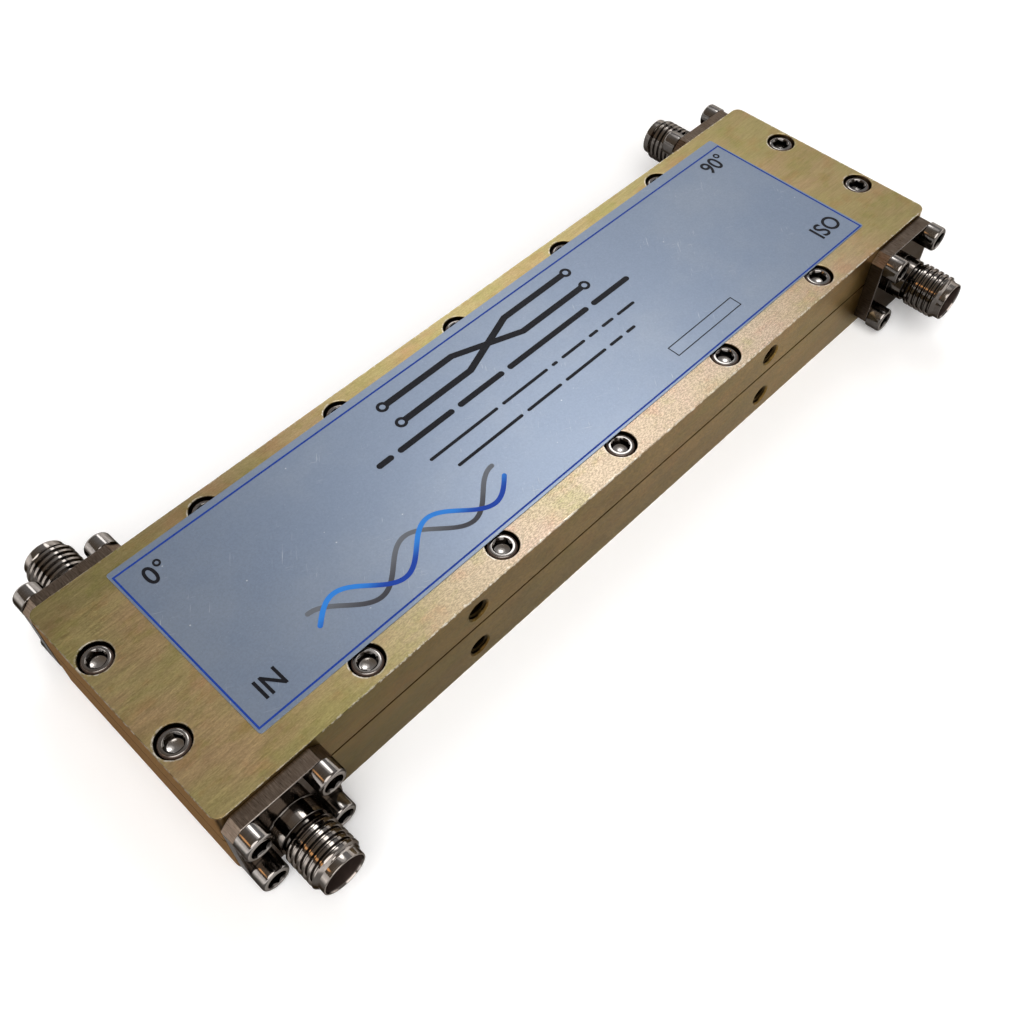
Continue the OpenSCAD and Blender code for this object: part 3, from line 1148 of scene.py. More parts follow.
@dataclass(frozen=True)
class FoilLabel:
    """Satin foil with tiny flakes, light scratches and soft smudges, and painted shade towards the input end.
    """

    foil: Colour = (0.185, 0.238, 0.332)
    haze: Colour = (0.218, 0.266, 0.346)
    bright: Colour = (0.75, 0.78, 0.82)
    tone: Point2 = (0.93, 1.03)
    near_x: Point2 = (-55.0, -25.0)
    near_painted_shade: Point2 = (0.86, 1.0)
    roughness: Point2 = (0.285, 0.305)
    scratches: tuple[Point2, Point2] = ((0.5, 3.0), (-0.9, 2.0))

    def material(self) -> Material:
        """Builds the material. Scratches run at two angles, each with a length.

        Returns:
            The material.
        """
        made, board, shader = new_material("label_foil", Metallic=0.31, Coat_Weight=0.6, Coat_Roughness=0.26)
        here = board.millimetres()
        smudges = board.effect(Clouds, Vector=here, Size=16.0, Low=0.4, High=0.72, Stretch=(1.2, 1.0, 1.0))
        flakes = board.effect(Specks, Vector=here, Spacing=0.42, Size=0.13, Share=0.4)
        dust = board.effect(Specks, Vector=here + (3.0, 5.0, 0.0), Spacing=2.6, Size=0.05, Share=0.3)
        worn_patch = board.effect(Clouds, Vector=here, Size=7.0, Low=0.5, High=0.7)
        first, second = (
            board.effect(Scratches, Vector=here, Angle=angle, Length=length, Spacing=0.16, Share=0.7)
            for angle, length in self.scratches)
        marks = (first | second) * worn_patch
        fine = board.noise(here, 4.0, 2.0, 0.6)
        colour = board.tint(flakes * 0.2, board.tint(smudges, self.foil, self.haze), self.bright)
        # Painted shade: darker towards the input end.
        colour = colour * fine.ramp(*MOST, *self.tone) * here.parts()[0].ramp(*self.near_x, *self.near_painted_shade)
        board.fill(shader, {
            "Base Color": board.tint((marks * 0.30) | (dust * 0.5), colour, self.bright),
            "Roughness": fine.ramp(*MOST, *self.roughness) + marks * 0.12,
            "Normal": board.bump(fine * 0.4 + (marks + dust), 0.006),
        })
        return made


@dataclass(frozen=True)
class Ink:
    """Printed ink, a little uneven. Where fade gives two Y places, the colour changes between them."""

    name: str
    low: Colour
    high: Colour
    fade: Point2 | None = None

    def material(self) -> Material:
        """Builds the material.

        Returns:
            The material.
        """
        made, board, shader = new_material(self.name, Roughness=0.45, Specular_IOR_Level=0.12)
        here = board.millimetres()
        uneven = board.noise(here, 3.0, 3.0, 0.6)
        if self.fade is None:
            share = uneven.ramp(0.35, 0.8)
        else:
            share = (here.parts()[1] + uneven * 0.4).ramp(*self.fade)
        board.fill(shader, {"Base Color": board.tint(share, self.low, self.high)})
        return made


@dataclass(frozen=True)
class PlainMetal:
    """A plated or rolled metal with faint lines and tarnish."""

    name: str
    metal: Colour
    tarnish: Colour
    roughness: Point2 = (0.2, 0.34)
    run: Point3 = (1.0, 12.0, 1.0)

    def material(self) -> Material:
        """Builds the material.

        Returns:
            The material.
        """
        made, board, shader = new_material(self.name, Metallic=1.0)
        here = board.millimetres()
        lines = board.effect(Grain, Vector=here, Fineness=5.0, Run=self.run)
        stains = board.effect(Clouds, Vector=here, Size=2.0, Low=0.45, High=0.75)
        board.fill(shader, {
            "Base Color": board.tint(stains, self.metal, self.tarnish),
            "Roughness": lines.ramp(*MOST, *self.roughness),
            "Normal": board.bump(lines, 0.004),
        })
        return made


@dataclass(frozen=True)
class Insulation:
    """White insulator or pale board laminate. Where weave is above 0, woven glass shows at that spacing."""

    name: str
    light: Colour
    dark: Colour
    weave: float = 0.0

    def material(self) -> Material:
        """Builds the material.

        Returns:
            The material.
        """
        made, board, shader = new_material(self.name, Roughness=0.45)
        here = board.millimetres()
        share = board.effect(Clouds, Vector=here, Size=1.5, Low=0.35, High=0.8)
        if self.weave:
            x, y, _ = (here * (math.tau / self.weave)).parts()
            crossing = x.by("SINE") * y.by("SINE")
            share = share * 0.5 + crossing.ramp(-1.0, 1.0, 0.0, 0.5)
        board.fill(shader, {
            "Base Color": board.tint(share, self.light, self.dark),
            "Normal": board.bump(share, 0.01),
        })
        return made


# The object

class Port(Enum):
    """The four ports: the stem of their nodes' names, their end along X and their side along Y."""

    INPUT = ("input", -1, -1)
    ISOLATED = ("isolated", 1, -1)
    ZERO_DEGREE = ("zero_degree", -1, 1)
    NINETY_DEGREE = ("ninety_degree", 1, 1)

    def __init__(self, stem: str, end: int, side: int) -> None:
        """Keeps the three values under their own names. Both signs are 1 or -1."""
        self.stem, self.end, self.side = stem, end, side


@dataclass
class Seats:
    """Where the housing holds its jacks and screws, in millimetres."""

    row_pitch: float = 20.6
    row_inset: float = 2.9
    end_spacing: float = 13.8
    end_inset: float = 2.3
    flange_pitch: float = 9.4
    half_length: float = 0.0
    half_width: float = 0.0
    seam_z: float = 0.0
    top_z: float = 0.0
    port_x: float = 0.0
    axis_z: float = 0.0
    screw_seat_z: float = 0.0

    def measure(self, head_h: float) -> Seats:
        """Takes the main sizes from the frame.

        Args:
            head_h: Height of a screw head, which hangs from the top of the screws' node.

        Returns:
            These seats.
        """
        low, high = node_box("upper_housing")
        self.half_length, self.half_width = high.x, high.y
        self.seam_z, self.top_z = low.z, high.z
        jack_low, jack_high = node_box("ninety_degree_jack")
        self.port_x = (jack_low.x + jack_high.x) / 2
        self.axis_z = (jack_low.z + jack_high.z) / 2
        self.screw_seat_z = node_box("housing_screws")[1].z - head_h
        return self

    def housing_screws(self) -> list[Point2]:
        """Places of the fourteen housing screws.

        Returns:
            Their X and Y.
        """
        row_y = self.half_width - self.row_inset
        end_x = self.half_length - self.end_inset
        rows = [(i * self.row_pitch, side * row_y) for side in (-1, 1) for i in range(-2, 3)]
        ends = [(end * end_x, side * self.end_spacing / 2) for end in (-1, 1) for side in (-1, 1)]
        return rows + ends

    def at_port(self, port: Port) -> Matrix:
        """Places a jack: its own Z axis points out of the housing's side."""
        place = Vector((port.end * self.port_x, port.side * self.half_width, self.axis_z))
        return Matrix.Translation(place) @ Matrix.Rotation(-port.side * math.pi / 2, 4, "X")

    def flange_corners(self) -> list[Point2]:
        """Places of the four screws on a flange."""
        half = self.flange_pitch / 2
        return [(x * half, y * half) for x in (-1, 1) for y in (-1, 1)]


@dataclass
class Housing:
    """The two milled halves with their pocket, bores, counterbores and tapped holes."""

    seats: Seats
    corner_r: float = 1.2
    edge_r: float = 0.10
    seam_r: float = 0.09
    pocket: Point3 = (117.8, 22.4, 3.45)
    pocket_r: float = 0.5
    jack_bore_r: float = 2.07
    bore_depth: float = 6.0
    tap_r: float = 1.11
    flange_tap_depth: float = 4.5
    clear_r: float = 1.225
    cbore_r: float = 2.05
    rim_r: float = 0.12
    tip_z: float = 2.97
    mount_spacing: float = 54.8
    mount_rise: float = 8.05
    mount_depth: float = 4.6
    mount_sink: float = 0.22
    mount_thread: Thread = Thread(crest_r=1.42, pitch=0.635)
    pin_r: float = 1.01
    pin_reach: float = 3.3

    def build(self) -> dict[str, Object]:
        """Builds both halves.

        Returns:
            The two pieces by the name of their CAD node.
        """
        s = self.seats
        outline = rounded_rectangle(2 * s.half_length, 2 * s.half_width, self.corner_r)
        halves = {
            "upper_housing": slab(outline, s.seam_z, s.top_z, self.seam_r, self.edge_r),
            "lower_housing": slab(outline, 0.0, s.seam_z, self.edge_r, self.seam_r),
        }
        made = {}
        for node, shell in halves.items():
            upper = node == "upper_housing"
            piece = shell.to_object(node + "_shell")
            carve(piece, [self.pocket_tool(), self.jack_bores()])
            carve(piece, [self.side_holes(upper), self.vertical_holes(upper)])
            to_metres(piece)
            smooth(piece)
            made[node] = piece
        return made

    def pocket_tool(self) -> Object:
        """The space of the boards.

        Returns:
            The cutter.
        """
        length, width, height = self.pocket
        low = self.seats.axis_z - height / 2
        outline = rounded_rectangle(length, width, self.pocket_r, 3)
        return slab(outline, low, low + height, 0, 0).to_object("pocket")

    def jack_bores(self) -> Object:
        """The four cross bores.

        Returns:
            The cutter.
        """
        tool = Shell()
        bore = rod(self.jack_bore_r, -self.bore_depth, 1.0, 48)
        for port in Port:
            tool.add(bore, self.seats.at_port(port))
        return tool.to_object("bores")

    def side_holes(self, upper: bool) -> Object:
        """The tapped holes of one half's sides, as a cutter.

        Args:
            upper: Whether this is the upper half.

        Returns:
            The cutter.
        """
        s = self.seats
        sign = 1 if upper else -1
        tool = Shell()
        for port in Port:
            place = s.at_port(port)
            for x, y in s.flange_corners():
                if (y * -port.side > 0) == upper:
                    tool.add(rod(self.tap_r, -self.flange_tap_depth, 1.0, 32),
                             place @ Matrix.Translation((x, y, 0.0)))
        for x in (-self.mount_spacing / 2, self.mount_spacing / 2):
            place = Vector((x, -s.half_width, s.axis_z + sign * self.mount_rise / 2))
            tool.add(self.mount_hole(), Matrix.Translation(place) @ Matrix.Rotation(math.pi / 2, 4, "X"))
        return tool.to_object("side_holes")

    def mount_hole(self, steps: int = 48) -> Shell:
        """The space inside a tapped mounting hole, with its countersink and drilled end.

        Args:
            steps: Number of segments round the axis.

        Returns:
            The closed space.
        """
        thread = self.mount_thread
        start, end = -self.mount_depth + 0.5, 0.6

        def shape(height: float, radius: float) -> float:
            """The countersink's cone wins near the face."""
            cone = thread.crest_r + self.mount_sink + height
            return thread.root_r if height <= start else max(radius, cone)

        hole = revolved([(0.0, -self.mount_depth), (thread.root_r, start)], steps)
        hole.add(thread.surface(start, end, shape, steps))
        return hole.add(revolved([(shape(end, 0.0), end), (0.0, end)], steps))

    def vertical_holes(self, upper: bool) -> Object:
        """The counterbores and clearance holes, or the tapped holes below them, and the pin holes.

        Args:
            upper: Whether this is the upper half.

        Returns:
            The cutter.
        """
        s = self.seats
        tool = Shell()
        if upper:
            low, high = s.seam_z - 1.0, s.top_z + 1.0
            mouth = (self.cbore_r + self.rim_r, s.top_z - self.rim_r * math.sin(math.radians(72)))
            edge = arc(mouth, self.rim_r, 180, 100, 4)
            profile = [(0.0, low), (self.clear_r, low), (self.clear_r, s.screw_seat_z),
                       (self.cbore_r, s.screw_seat_z), *edge, (edge[-1][0], high), (0.0, high)]
            screw_hole = revolved(profile, 64)
        else:
            screw_hole = rod(self.tap_r, self.tip_z, s.seam_z + 1.0, 32)
        for x, y in s.housing_screws():
            tool.add(screw_hole, Matrix.Translation((x, y, 0.0)))
        pin = rod(self.pin_r, s.seam_z - self.pin_reach, s.seam_z + self.pin_reach, 32)
        for sign in (-1, 1):
            place = Vector((sign * 1.5 * s.row_pitch, -sign * (s.half_width - s.row_inset), 0.0))
            tool.add(pin, Matrix.Translation(place))
        return tool.to_object("vertical_holes")

    def dress(self, finish: Material) -> None:
        """Builds both halves and hands them in."""
        for node, piece in self.build().items():
            hand_in(piece, finish, "housing_gold", node)


def rod(radius: float, low: float, high: float, steps: int) -> Shell:
    """A plain closed cylinder round Z."""
    return revolved([(0.0, low), (radius, low), (radius, high), (0.0, high)], steps)


@dataclass
class SocketScrew:
    """A socket head screw: the head stands on Z = 0 and the shank hangs below it."""

    shank_l: float
    head_d: float = 3.56
    head_h: float = 2.18
    head_r: float = 0.36
    foot_bevel: float = 0.06
    mouth_depth: float = 0.28
    hex_af: float = 1.98
    hex_depth: float = 0.95
    bowl_depth: float = 0.16
    thread: Thread = Thread(crest_r=1.09, pitch=0.4536, rows=(0.0, 0.4, 0.6, 0.75))

    def build(self) -> Object:
        """Builds the screw.

        Returns:
            The screw in its own coordinates, in millimetres.
        """
        r, h, foot = self.head_d / 2, self.head_h, self.foot_bevel
        head = [(0.0, 0.0), (r - foot, 0.0), (r, foot), (r, h - self.head_r),
                *arc((r - self.head_r, h - self.head_r), self.head_r, 0, 90, 5)[1:], (0.0, h)]
        screw = revolved(head, 64).to_object("screw")
        carve(screw, [self.shank().to_object("shank")], "UNION")
        carve(screw, [self.hexagon(), self.drilled()])
        return screw

    def shank(self, steps: int = 24) -> Shell:
        """The threaded shank, reaching a little into the head.

        Args:
            steps: Number of segments round the axis.

        Returns:
            The closed shank.
        """
        low, high, root_r = -self.shank_l, -0.35, self.thread.root_r

        def shape(height: float, radius: float) -> float:
            """Both ends of the thread run out on a cone."""
            cone = root_r - 0.02 + min(height - low, high - height)
            return min(radius, cone)

        shank = revolved([(0.0, low), (shape(low, FAR), low)], steps)
        shank.add(self.thread.surface(low, high, shape, steps))
        neck = [(shape(high, FAR), high), (root_r, 0.0), (root_r, 0.3), (0.0, 0.3)]
        return shank.add(revolved(neck, steps))

    def hexagon(self) -> Object:
        """The hexagonal socket.

        Returns:
            The cutter.
        """
        corner = self.hex_af / 2 / math.cos(math.pi / 6)
        turns = [math.tau * i / 6 for i in range(6)]
        outline = [(corner * math.cos(t), corner * math.sin(t)) for t in turns]
        return slab(outline, self.head_h - self.hex_depth, self.head_h + 1.0, 0, 0).to_object("hexagon")

    def drilled(self) -> Object:
        """The chamfer at the mouth of the socket and the round bowl at its floor.

        Returns:
            The cutter.
        """
        flat, floor = self.hex_af / 2, self.head_h - self.hex_depth
        low, high = self.head_h - self.mouth_depth, self.head_h + 0.5
        inner = flat - 0.04
        mouth = revolved([(0.0, low), (inner, low), (inner + high - low, high), (0.0, high)], 48)
        half = flat - 0.06
        radius = (half ** 2 + self.bowl_depth ** 2) / (2 * self.bowl_depth)
        turn = math.degrees(math.asin(half / radius))
        bowl = arc((0.0, floor - self.bowl_depth + radius), radius, -90, turn - 90, 8)
        lid = floor + 0.05
        bowl = revolved([(0.0, bowl[0][1]), *bowl[1:], (half, lid), (0.0, lid)], 48)
        return mouth.add(bowl).to_object("drilled")


@dataclass
class Screws:
    """The housing screws and the flange screws."""

    seats: Seats
    housing_shank: float = 8.4
    flange_shank: float = 6.0
    flange_t: float = 2.0

    def dress(self, finish: Material) -> None:
        """Builds one piece for the housing and one for each flange, each screw turned its own way.

        Args:
            finish: Their material.
        """
        s = self.seats
        places = [Matrix.Translation((x, y, s.screw_seat_z)) for x, y in s.housing_screws()]
        self.hand_in_group("housing_screws", self.housing_shank, places, finish)
        for port in Port:
            places = [s.at_port(port) @ Matrix.Translation((x, y, self.flange_t))
                      for x, y in s.flange_corners()]
            self.hand_in_group(port.stem + "_flange_screws", self.flange_shank, places, finish)

    @staticmethod
    def hand_in_group(node: str, shank_l: float, places: list[Matrix], finish: Material) -> None:
        """Builds and hands in one group of equal screws.

        Args:
            node: The CAD node that they stand for.
            shank_l: Length of their shanks.
            places: Where their heads stand.
            finish: Their material.
        """
        turned = [p @ Matrix.Rotation(GOLDEN_TURN * (i + len(node)), 4, "Z") for i, p in enumerate(places)]
        piece = repeated(node + "_set", SocketScrew(shank_l).build(), turned)
        smooth(piece)
        hand_in(piece, finish, "screw_steel", node)


@dataclass
class Jack:
    """A coaxial jack from one piece: a clipped square flange and a threaded barrel, along its own Z axis."""

    seats: Seats
    flange_w: float = 12.9
    flange_t: float = 2.0
    clip: float = 1.4
    flange_edge: float = 0.12
    collar_r: float = 3.05
    collar_end: float = 4.1
    collar_bevel: float = 0.06
    groove_r: float = 2.7
    thread_start: float = 4.5
    thread_end: float = 9.5
    barrel_end: float = 10.4
    lip_r: float = 2.75
    lip_edge: float = 0.08
    mouth_r: float = 2.3
    mouth_depth: float = 1.9
    mouth_rim_r: float = 2.56
    mouth_cone: float = 0.6
    bore_r: float = 2.07
    clear_r: float = 1.225
    foot_r: float = 0.18
    thread: Thread = Thread(crest_r=3.175, pitch=0.82, depth_share=0.36)
    steps: int = 96

    def build(self) -> Object:
        """Builds the jack.

        Returns:
            The jack in its own coordinates, in millimetres.
        """
        jack = self.flange().to_object("jack")
        carve(jack, [self.barrel().to_object("barrel")], "UNION")
        carve(jack, [self.bore().to_object("bore"), self.screw_holes().to_object("screw_holes")])
        return jack

    def flange(self) -> Shell:
        """The clipped square plate.

        Returns:
            The closed plate.
        """
        half, cut = self.flange_w / 2, self.flange_w / 2 - self.clip
        outline = [(half, -cut), (half, cut), (cut, half), (-cut, half),
                   (-half, cut), (-half, -cut), (-cut, -half), (cut, -half)]
        return slab(outline, 0.0, self.flange_t, 0.05, self.flange_edge)

    def barrel(self) -> Shell:
        """The turned outside: foot, collar, groove, thread and lip.

        Returns:
            The closed outside.
        """
        foot_middle = (self.collar_r + self.foot_r, self.flange_t + self.foot_r * 0.95)
        foot = arc(foot_middle, self.foot_r, -105, -180, 4)
        bevel = self.collar_bevel
        lower = [(0.0, 0.5), (foot[0][0], 0.5), *foot, (self.collar_r, self.collar_end - bevel),
                 (self.collar_r - bevel, self.collar_end), (self.groove_r, self.collar_end),
                 (self.groove_r, self.thread_start), (self.lip_r, self.thread_start)]
        edge = arc((self.lip_r - self.lip_edge, self.barrel_end - self.lip_edge), self.lip_edge, 0, 90, 4)
        upper = [(self.lip_r, self.thread_end), *edge, (0.0, self.barrel_end)]

        def shape(height: float, radius: float) -> float:
            """Both ends of the thread are bevelled."""
            return min(radius, self.lip_r + min(height - self.thread_start, self.thread_end - height))

        made = revolved(lower, self.steps)
        made.add(self.thread.surface(self.thread_start, self.thread_end, shape, self.steps))
        return made.add(revolved(upper, self.steps))

    def bore(self) -> Shell:
        """The space inside the barrel: the insulator's bore, and the wider front bore with its cone.

        Returns:
            The closed space.
        """
        floor, cone = self.barrel_end - self.mouth_depth, self.barrel_end - self.mouth_cone
        return revolved([(0.0, -1.0), (self.bore_r, -1.0), (self.bore_r, floor), (self.mouth_r, floor),
                         (self.mouth_r, cone), (self.mouth_rim_r, self.barrel_end),
                         (self.mouth_rim_r, self.barrel_end + 1.0), (0.0, self.barrel_end + 1.0)], self.steps)

    def screw_holes(self) -> Shell:
        """The four clearance holes of the flange.

        Returns:
            The closed spaces.
        """
        holes = Shell()
        for x, y in self.seats.flange_corners():
            holes.add(rod(self.clear_r, -1.0, self.flange_t + 1.0, 32), Matrix.Translation((x, y, 0.0)))
        return holes

    def dress(self, finish: Material) -> None:
        """Builds the four jacks and hands them in.

        Args:
            finish: Their material.
        """
        for port in Port:
            piece = repeated(port.stem + "_jack_body", self.build(), [self.seats.at_port(port)])
            smooth(piece)
            hand_in(piece, finish, "jack_steel", port.stem + "_jack")


@dataclass
class Label:
    """The foil label with its print: a border, port marks, a coupler symbol, plain bars and two waves."""

    seats: Seats
    ink_t: float = 0.02
    corner_r: float = 0.4
    edge_r: float = 0.03
    border_w: float = 0.24
    border: tuple[Point2, ...] = ((-54.2, -12.15), (53.5, -12.55), (53.65, 13.1), (-54.15, 13.85))
    mark_h: float = 2.7
    marks: tuple[tuple[str, float, float], ...] = (
        ("IN", -51.8, -10.1), ("0°", -51.8, 9.9), ("90°", 47.7, 9.6), ("ISO", 47.4, -10.4))
    mark_scale: float = 1.37
    mark_narrow: float = 0.88
    mark_bold: float = 0.05
    symbol_centre: Point2 = (0.5, 9.2)
    symbol_half: Point2 = (16.2, 1.75)
    symbol_w: float = 0.95
    terminal_r: float = 0.62
    terminal_w: float = 0.42
    bars: tuple[tuple[float, float, float, tuple[float, ...]], ...] = (
        (4.25, 0.85, -23.2, (2.6, 9.3, 8.0, 15.2, 7.4)),
        (0.55, 0.45, -18.0, (11.6, 8.2, 1.0, 4.4, 1.7, 2.2, 3.4)),
        (-2.45, 0.45, -16.2, (11.2, 6.2, 7.6, 2.4, 1.7)))
    bar_gap: float = 0.85
    field_box: tuple[float, float, float, float] = (16.2, -10.0, 29.2, -8.2)
    field_w: float = 0.14
    wave_start: Point2 = (-42.0, -7.4)
    wave_l: float = 28.6
    wave_h: float = 2.1
    wave_w: float = 0.62
    surface_z: float = 0.0

    def dress(self, foil: Material, inks: dict[str, Material]) -> None:
        """Builds the plate and its print and hands them in.

        Args:
            foil: Finish of the plate.
            inks: Finishes of the print, by the names black, blue and grey, and fade for the shaded wave.
        """
        low, high = node_box("label")
        self.surface_z = high.z - self.ink_t
        middle = (low + high) / 2
        outline = rounded_rectangle(high.x - low.x, high.y - low.y, self.corner_r)
        plate = slab(outline, low.z, self.surface_z, 0, self.edge_r)
        piece = Shell().add(plate, Matrix.Translation((middle.x, middle.y, 0.0))).to_object("label_plate")
        to_metres(piece)
        smooth(piece)
        hand_in(piece, foil, "label_foil", "label")
        words = self.word_bars().add(self.write_in_field())
        self.print_piece("label_words", words.to_object("label_words"), inks["black"])
        self.print_piece("label_symbol", self.symbol(), inks["black"])
        border = self.stroke(self.border, self.border_w, closed=True)
        self.print_piece("label_border", border.to_object("label_border"), inks["blue"])
        for name, phase, share, ink in (("label_wave_one", 0.0, 1.0, "fade"),
                                        ("label_wave_two", math.pi / 2, 0.7, "grey")):
            wave = self.wave(phase, share * self.ink_t)
            self.print_piece(name, wave.to_object(name), inks[ink])
        for index, mark in enumerate(self.marks):
            self.letters(f"label_mark_{index + 1}", *mark, inks["black"])

    def print_piece(self, name: str, piece: Object, ink: Material) -> None:
        """Hands in one piece of the print.

        Args:
            name: Name of the piece.
            piece: Its object, in millimetres.
            ink: Its finish.
        """
        piece.name = name
        to_metres(piece)
        hand_in(piece, ink, "label_foil", "label")

    def stroke(self, points: Sequence[Point2], width: float, closed: bool = False, caps: bool = False,
               thickness: float | None = None) -> Shell:
        """A flat line of ink through points.

        Args:
            points: The centre line.
            width: Width of the line.
            closed: Whether the last point joins the first.
            caps: Whether the ends are round.
            thickness: Height above the label, or None for the usual one.

        Returns:
            A closed flat shell.
        """
        line = [Vector(p) for p in points]
        halves = [width / 2] * len(line)
        if caps:
            line, halves = self.round_ends(line, width / 2)
        count = len(line)
        low, high = self.surface_z - 0.01, self.surface_z + (thickness or self.ink_t)
        made = Shell()
        for i, (here, half) in enumerate(zip(line, halves)):
            before = line[i - 1 if i or closed else 0]
            after = line[(i + 1) % count if i < count - 1 or closed else i]
            into = (here - before if here != before else after - here).normalized()
            out = (after - here if after != here else here - before).normalized()
            across = Vector((-into.y - out.y, into.x + out.x)).normalized()
            reach = across * half / max(across.dot(Vector((-into.y, into.x))), 0.3)
            for side in (here - reach, here + reach):
                made.points += [(side.x, side.y, low), (side.x, side.y, high)]
        for i in range(count if closed else count - 1):
            a, b = 4 * i, 4 * ((i + 1) % count)
            made.faces += [(a + 1, b + 1, b + 3, a + 3), (a + 2, b + 2, b, a), (a, b, b + 1, a + 1),
                           (a + 3, b + 3, b + 2, a + 2)]
        if not closed:
            last = 4 * (count - 1)
            made.faces += [(0, 1, 3, 2), (last + 2, last + 3, last + 1, last)]
        return made

    @staticmethod
    def round_ends(line: list[Vector], half: float, steps: int = 6) -> tuple[list[Vector], list[float]]:
        """Lengthens a line at both ends by points whose widths follow a half circle.

        Args:
            line: The points.
            half: Half the width of the line.
            steps: Number of segments at each end.

        Returns:
            The longer line, and half the width at each of its points.
        """
        turns = [math.pi / 2 * i / steps for i in range(1, steps + 1)]
        first, last = (line[0] - line[1]).normalized(), (line[-1] - line[-2]).normalized()
        head = [line[0] + first * half * math.sin(t) for t in reversed(turns)]
        tail = [line[-1] + last * half * math.sin(t) for t in turns]
        widths = [half * math.cos(t) for t in turns]
        return head + line + tail, widths[::-1] + [half] * len(line) + widths

    def symbol(self) -> Object:
        """Two crossing lines between four round terminals, the sign of a coupler.

        Returns:
            The symbol, in millimetres.
        """
        cx, cy = self.symbol_centre
        dx, dy = self.symbol_half
        ring_r = self.terminal_r
        lines = []
        for sign in (-1, 1):
            path = [(-dx, -sign * dy), (-dx * 0.3, -sign * dy), (dx * 0.3, sign * dy), (dx, sign * dy)]
            lines.append(self.stroke([(cx + x, cy + y) for x, y in path], self.symbol_w))
            for end in (-1, 1):
                ring = arc((cx + end * (dx + ring_r), cy + sign * dy), ring_r, 0, 345, 23)
                lines.append(self.stroke(ring, self.terminal_w, closed=True))
        pieces = [line.to_object("symbol_line") for line in lines]
        carve(pieces[0], pieces[1:], "UNION")
        return pieces[0]

    def word_bars(self) -> Shell:
        """Rows of plain bars where a label has lines of words.

        Returns:
            The bars.
        """
        made = Shell()
        for y, width, start, lengths in self.bars:
            x = start
            for length in lengths:
                half = min(width, length) / 2
                made.add(self.stroke([(x + half, y), (x + length - half, y)], width, caps=True))
                x += length + self.bar_gap
        return made

    def write_in_field(self) -> Shell:
        """An empty box for a hand-written number."""
        x0, y0, x1, y1 = self.field_box
        return self.stroke([(x0, y0), (x1, y0), (x1, y1), (x0, y1)], self.field_w, closed=True)

    def wave(self, phase: float, thickness: float, steps: int = 72) -> Shell:
        """One of two waves that run a quarter turn apart.

        Args:
            phase: Where in its turn the wave starts, in radians.
            thickness: Its height above the label.
            steps: Number of segments.

        Returns:
            The wave.
        """
        x0, y0 = self.wave_start
        path = [(x0 + self.wave_l * i / steps,
                 y0 + self.wave_h * math.sin(2 * math.tau * i / steps + phase)) for i in range(steps + 1)]
        return self.stroke(path, self.wave_w, caps=True, thickness=thickness)

    def letters(self, name: str, text: str, x: float, y: float, ink: Material) -> None:
        """A port mark in plain letters.

        Args:
            name: Name of the piece.
            text: What it says.
            x: Left end of the mark.
            y: Its base line.
            ink: Its finish.
        """
        curve = bpy.data.curves.new(name, "FONT")
        curve.body = text
        curve.size = self.mark_h * self.mark_scale
        curve.extrude = self.ink_t / 2
        curve.offset = self.mark_bold
        curve.resolution_u = 6
        written = linked(name, curve)
        letters = bpy.data.meshes.new_from_object(written)
        bpy.data.objects.remove(written)
        piece = linked(name, letters)
        place = Vector((x, y, self.surface_z + self.ink_t / 2))
        piece.data.transform(Matrix.Translation(place) @ Matrix.Diagonal((self.mark_narrow, 1.0, 1.0, 1.0)))
        self.print_piece(name, piece, ink)


@dataclass
class InnerParts:
    """The parts that keep their CAD meshes: insulators, contacts, boards, tracks and pins."""

    nodes: dict[str, Object]

    def dress(self, finishes: dict[str, Material]) -> None:
        """Gives each node its finish.

        Args:
            finishes: Materials by the last word or words of the nodes' names.
        """
        for node, shown in self.nodes.items():
            for ending, finish in finishes.items():
                if node.endswith(ending):
                    if not shown.data.materials:
                        shown.data.materials.append(None)
                    for slot in shown.material_slots:
                        slot.material = finish
                    log.info("%s keeps its mesh", node)


# The stage

@dataclass(frozen=True)
class Lamp:
    """A soft lamp that faces the object: where it hangs, how large it is and how much light it gives."""

    name: str
    azimuth: float
    elevation: float
    size: float
    level: float
    colour: Colour = (1.0, 1.0, 1.0)
    distance: float = 0.7

    def hang(self) -> None:
        """Adds the lamp. Its level is how bright it makes a white surface below, as a share of full white."""
        data = bpy.data.lights.new(self.name, "AREA")
        data.shape = "DISK"
        data.size = self.size
        data.color = self.colour
        rise = math.radians(self.elevation)
        data.energy = self.level * (math.pi * self.distance) ** 2 / math.sin(rise)
        turn = math.radians(self.azimuth)
        way = Vector((math.cos(turn) * math.cos(rise), math.sin(turn) * math.cos(rise), math.sin(rise)))
        aimed(self.name, data, way * self.distance, (-way).to_track_quat("-Z", "Y"))


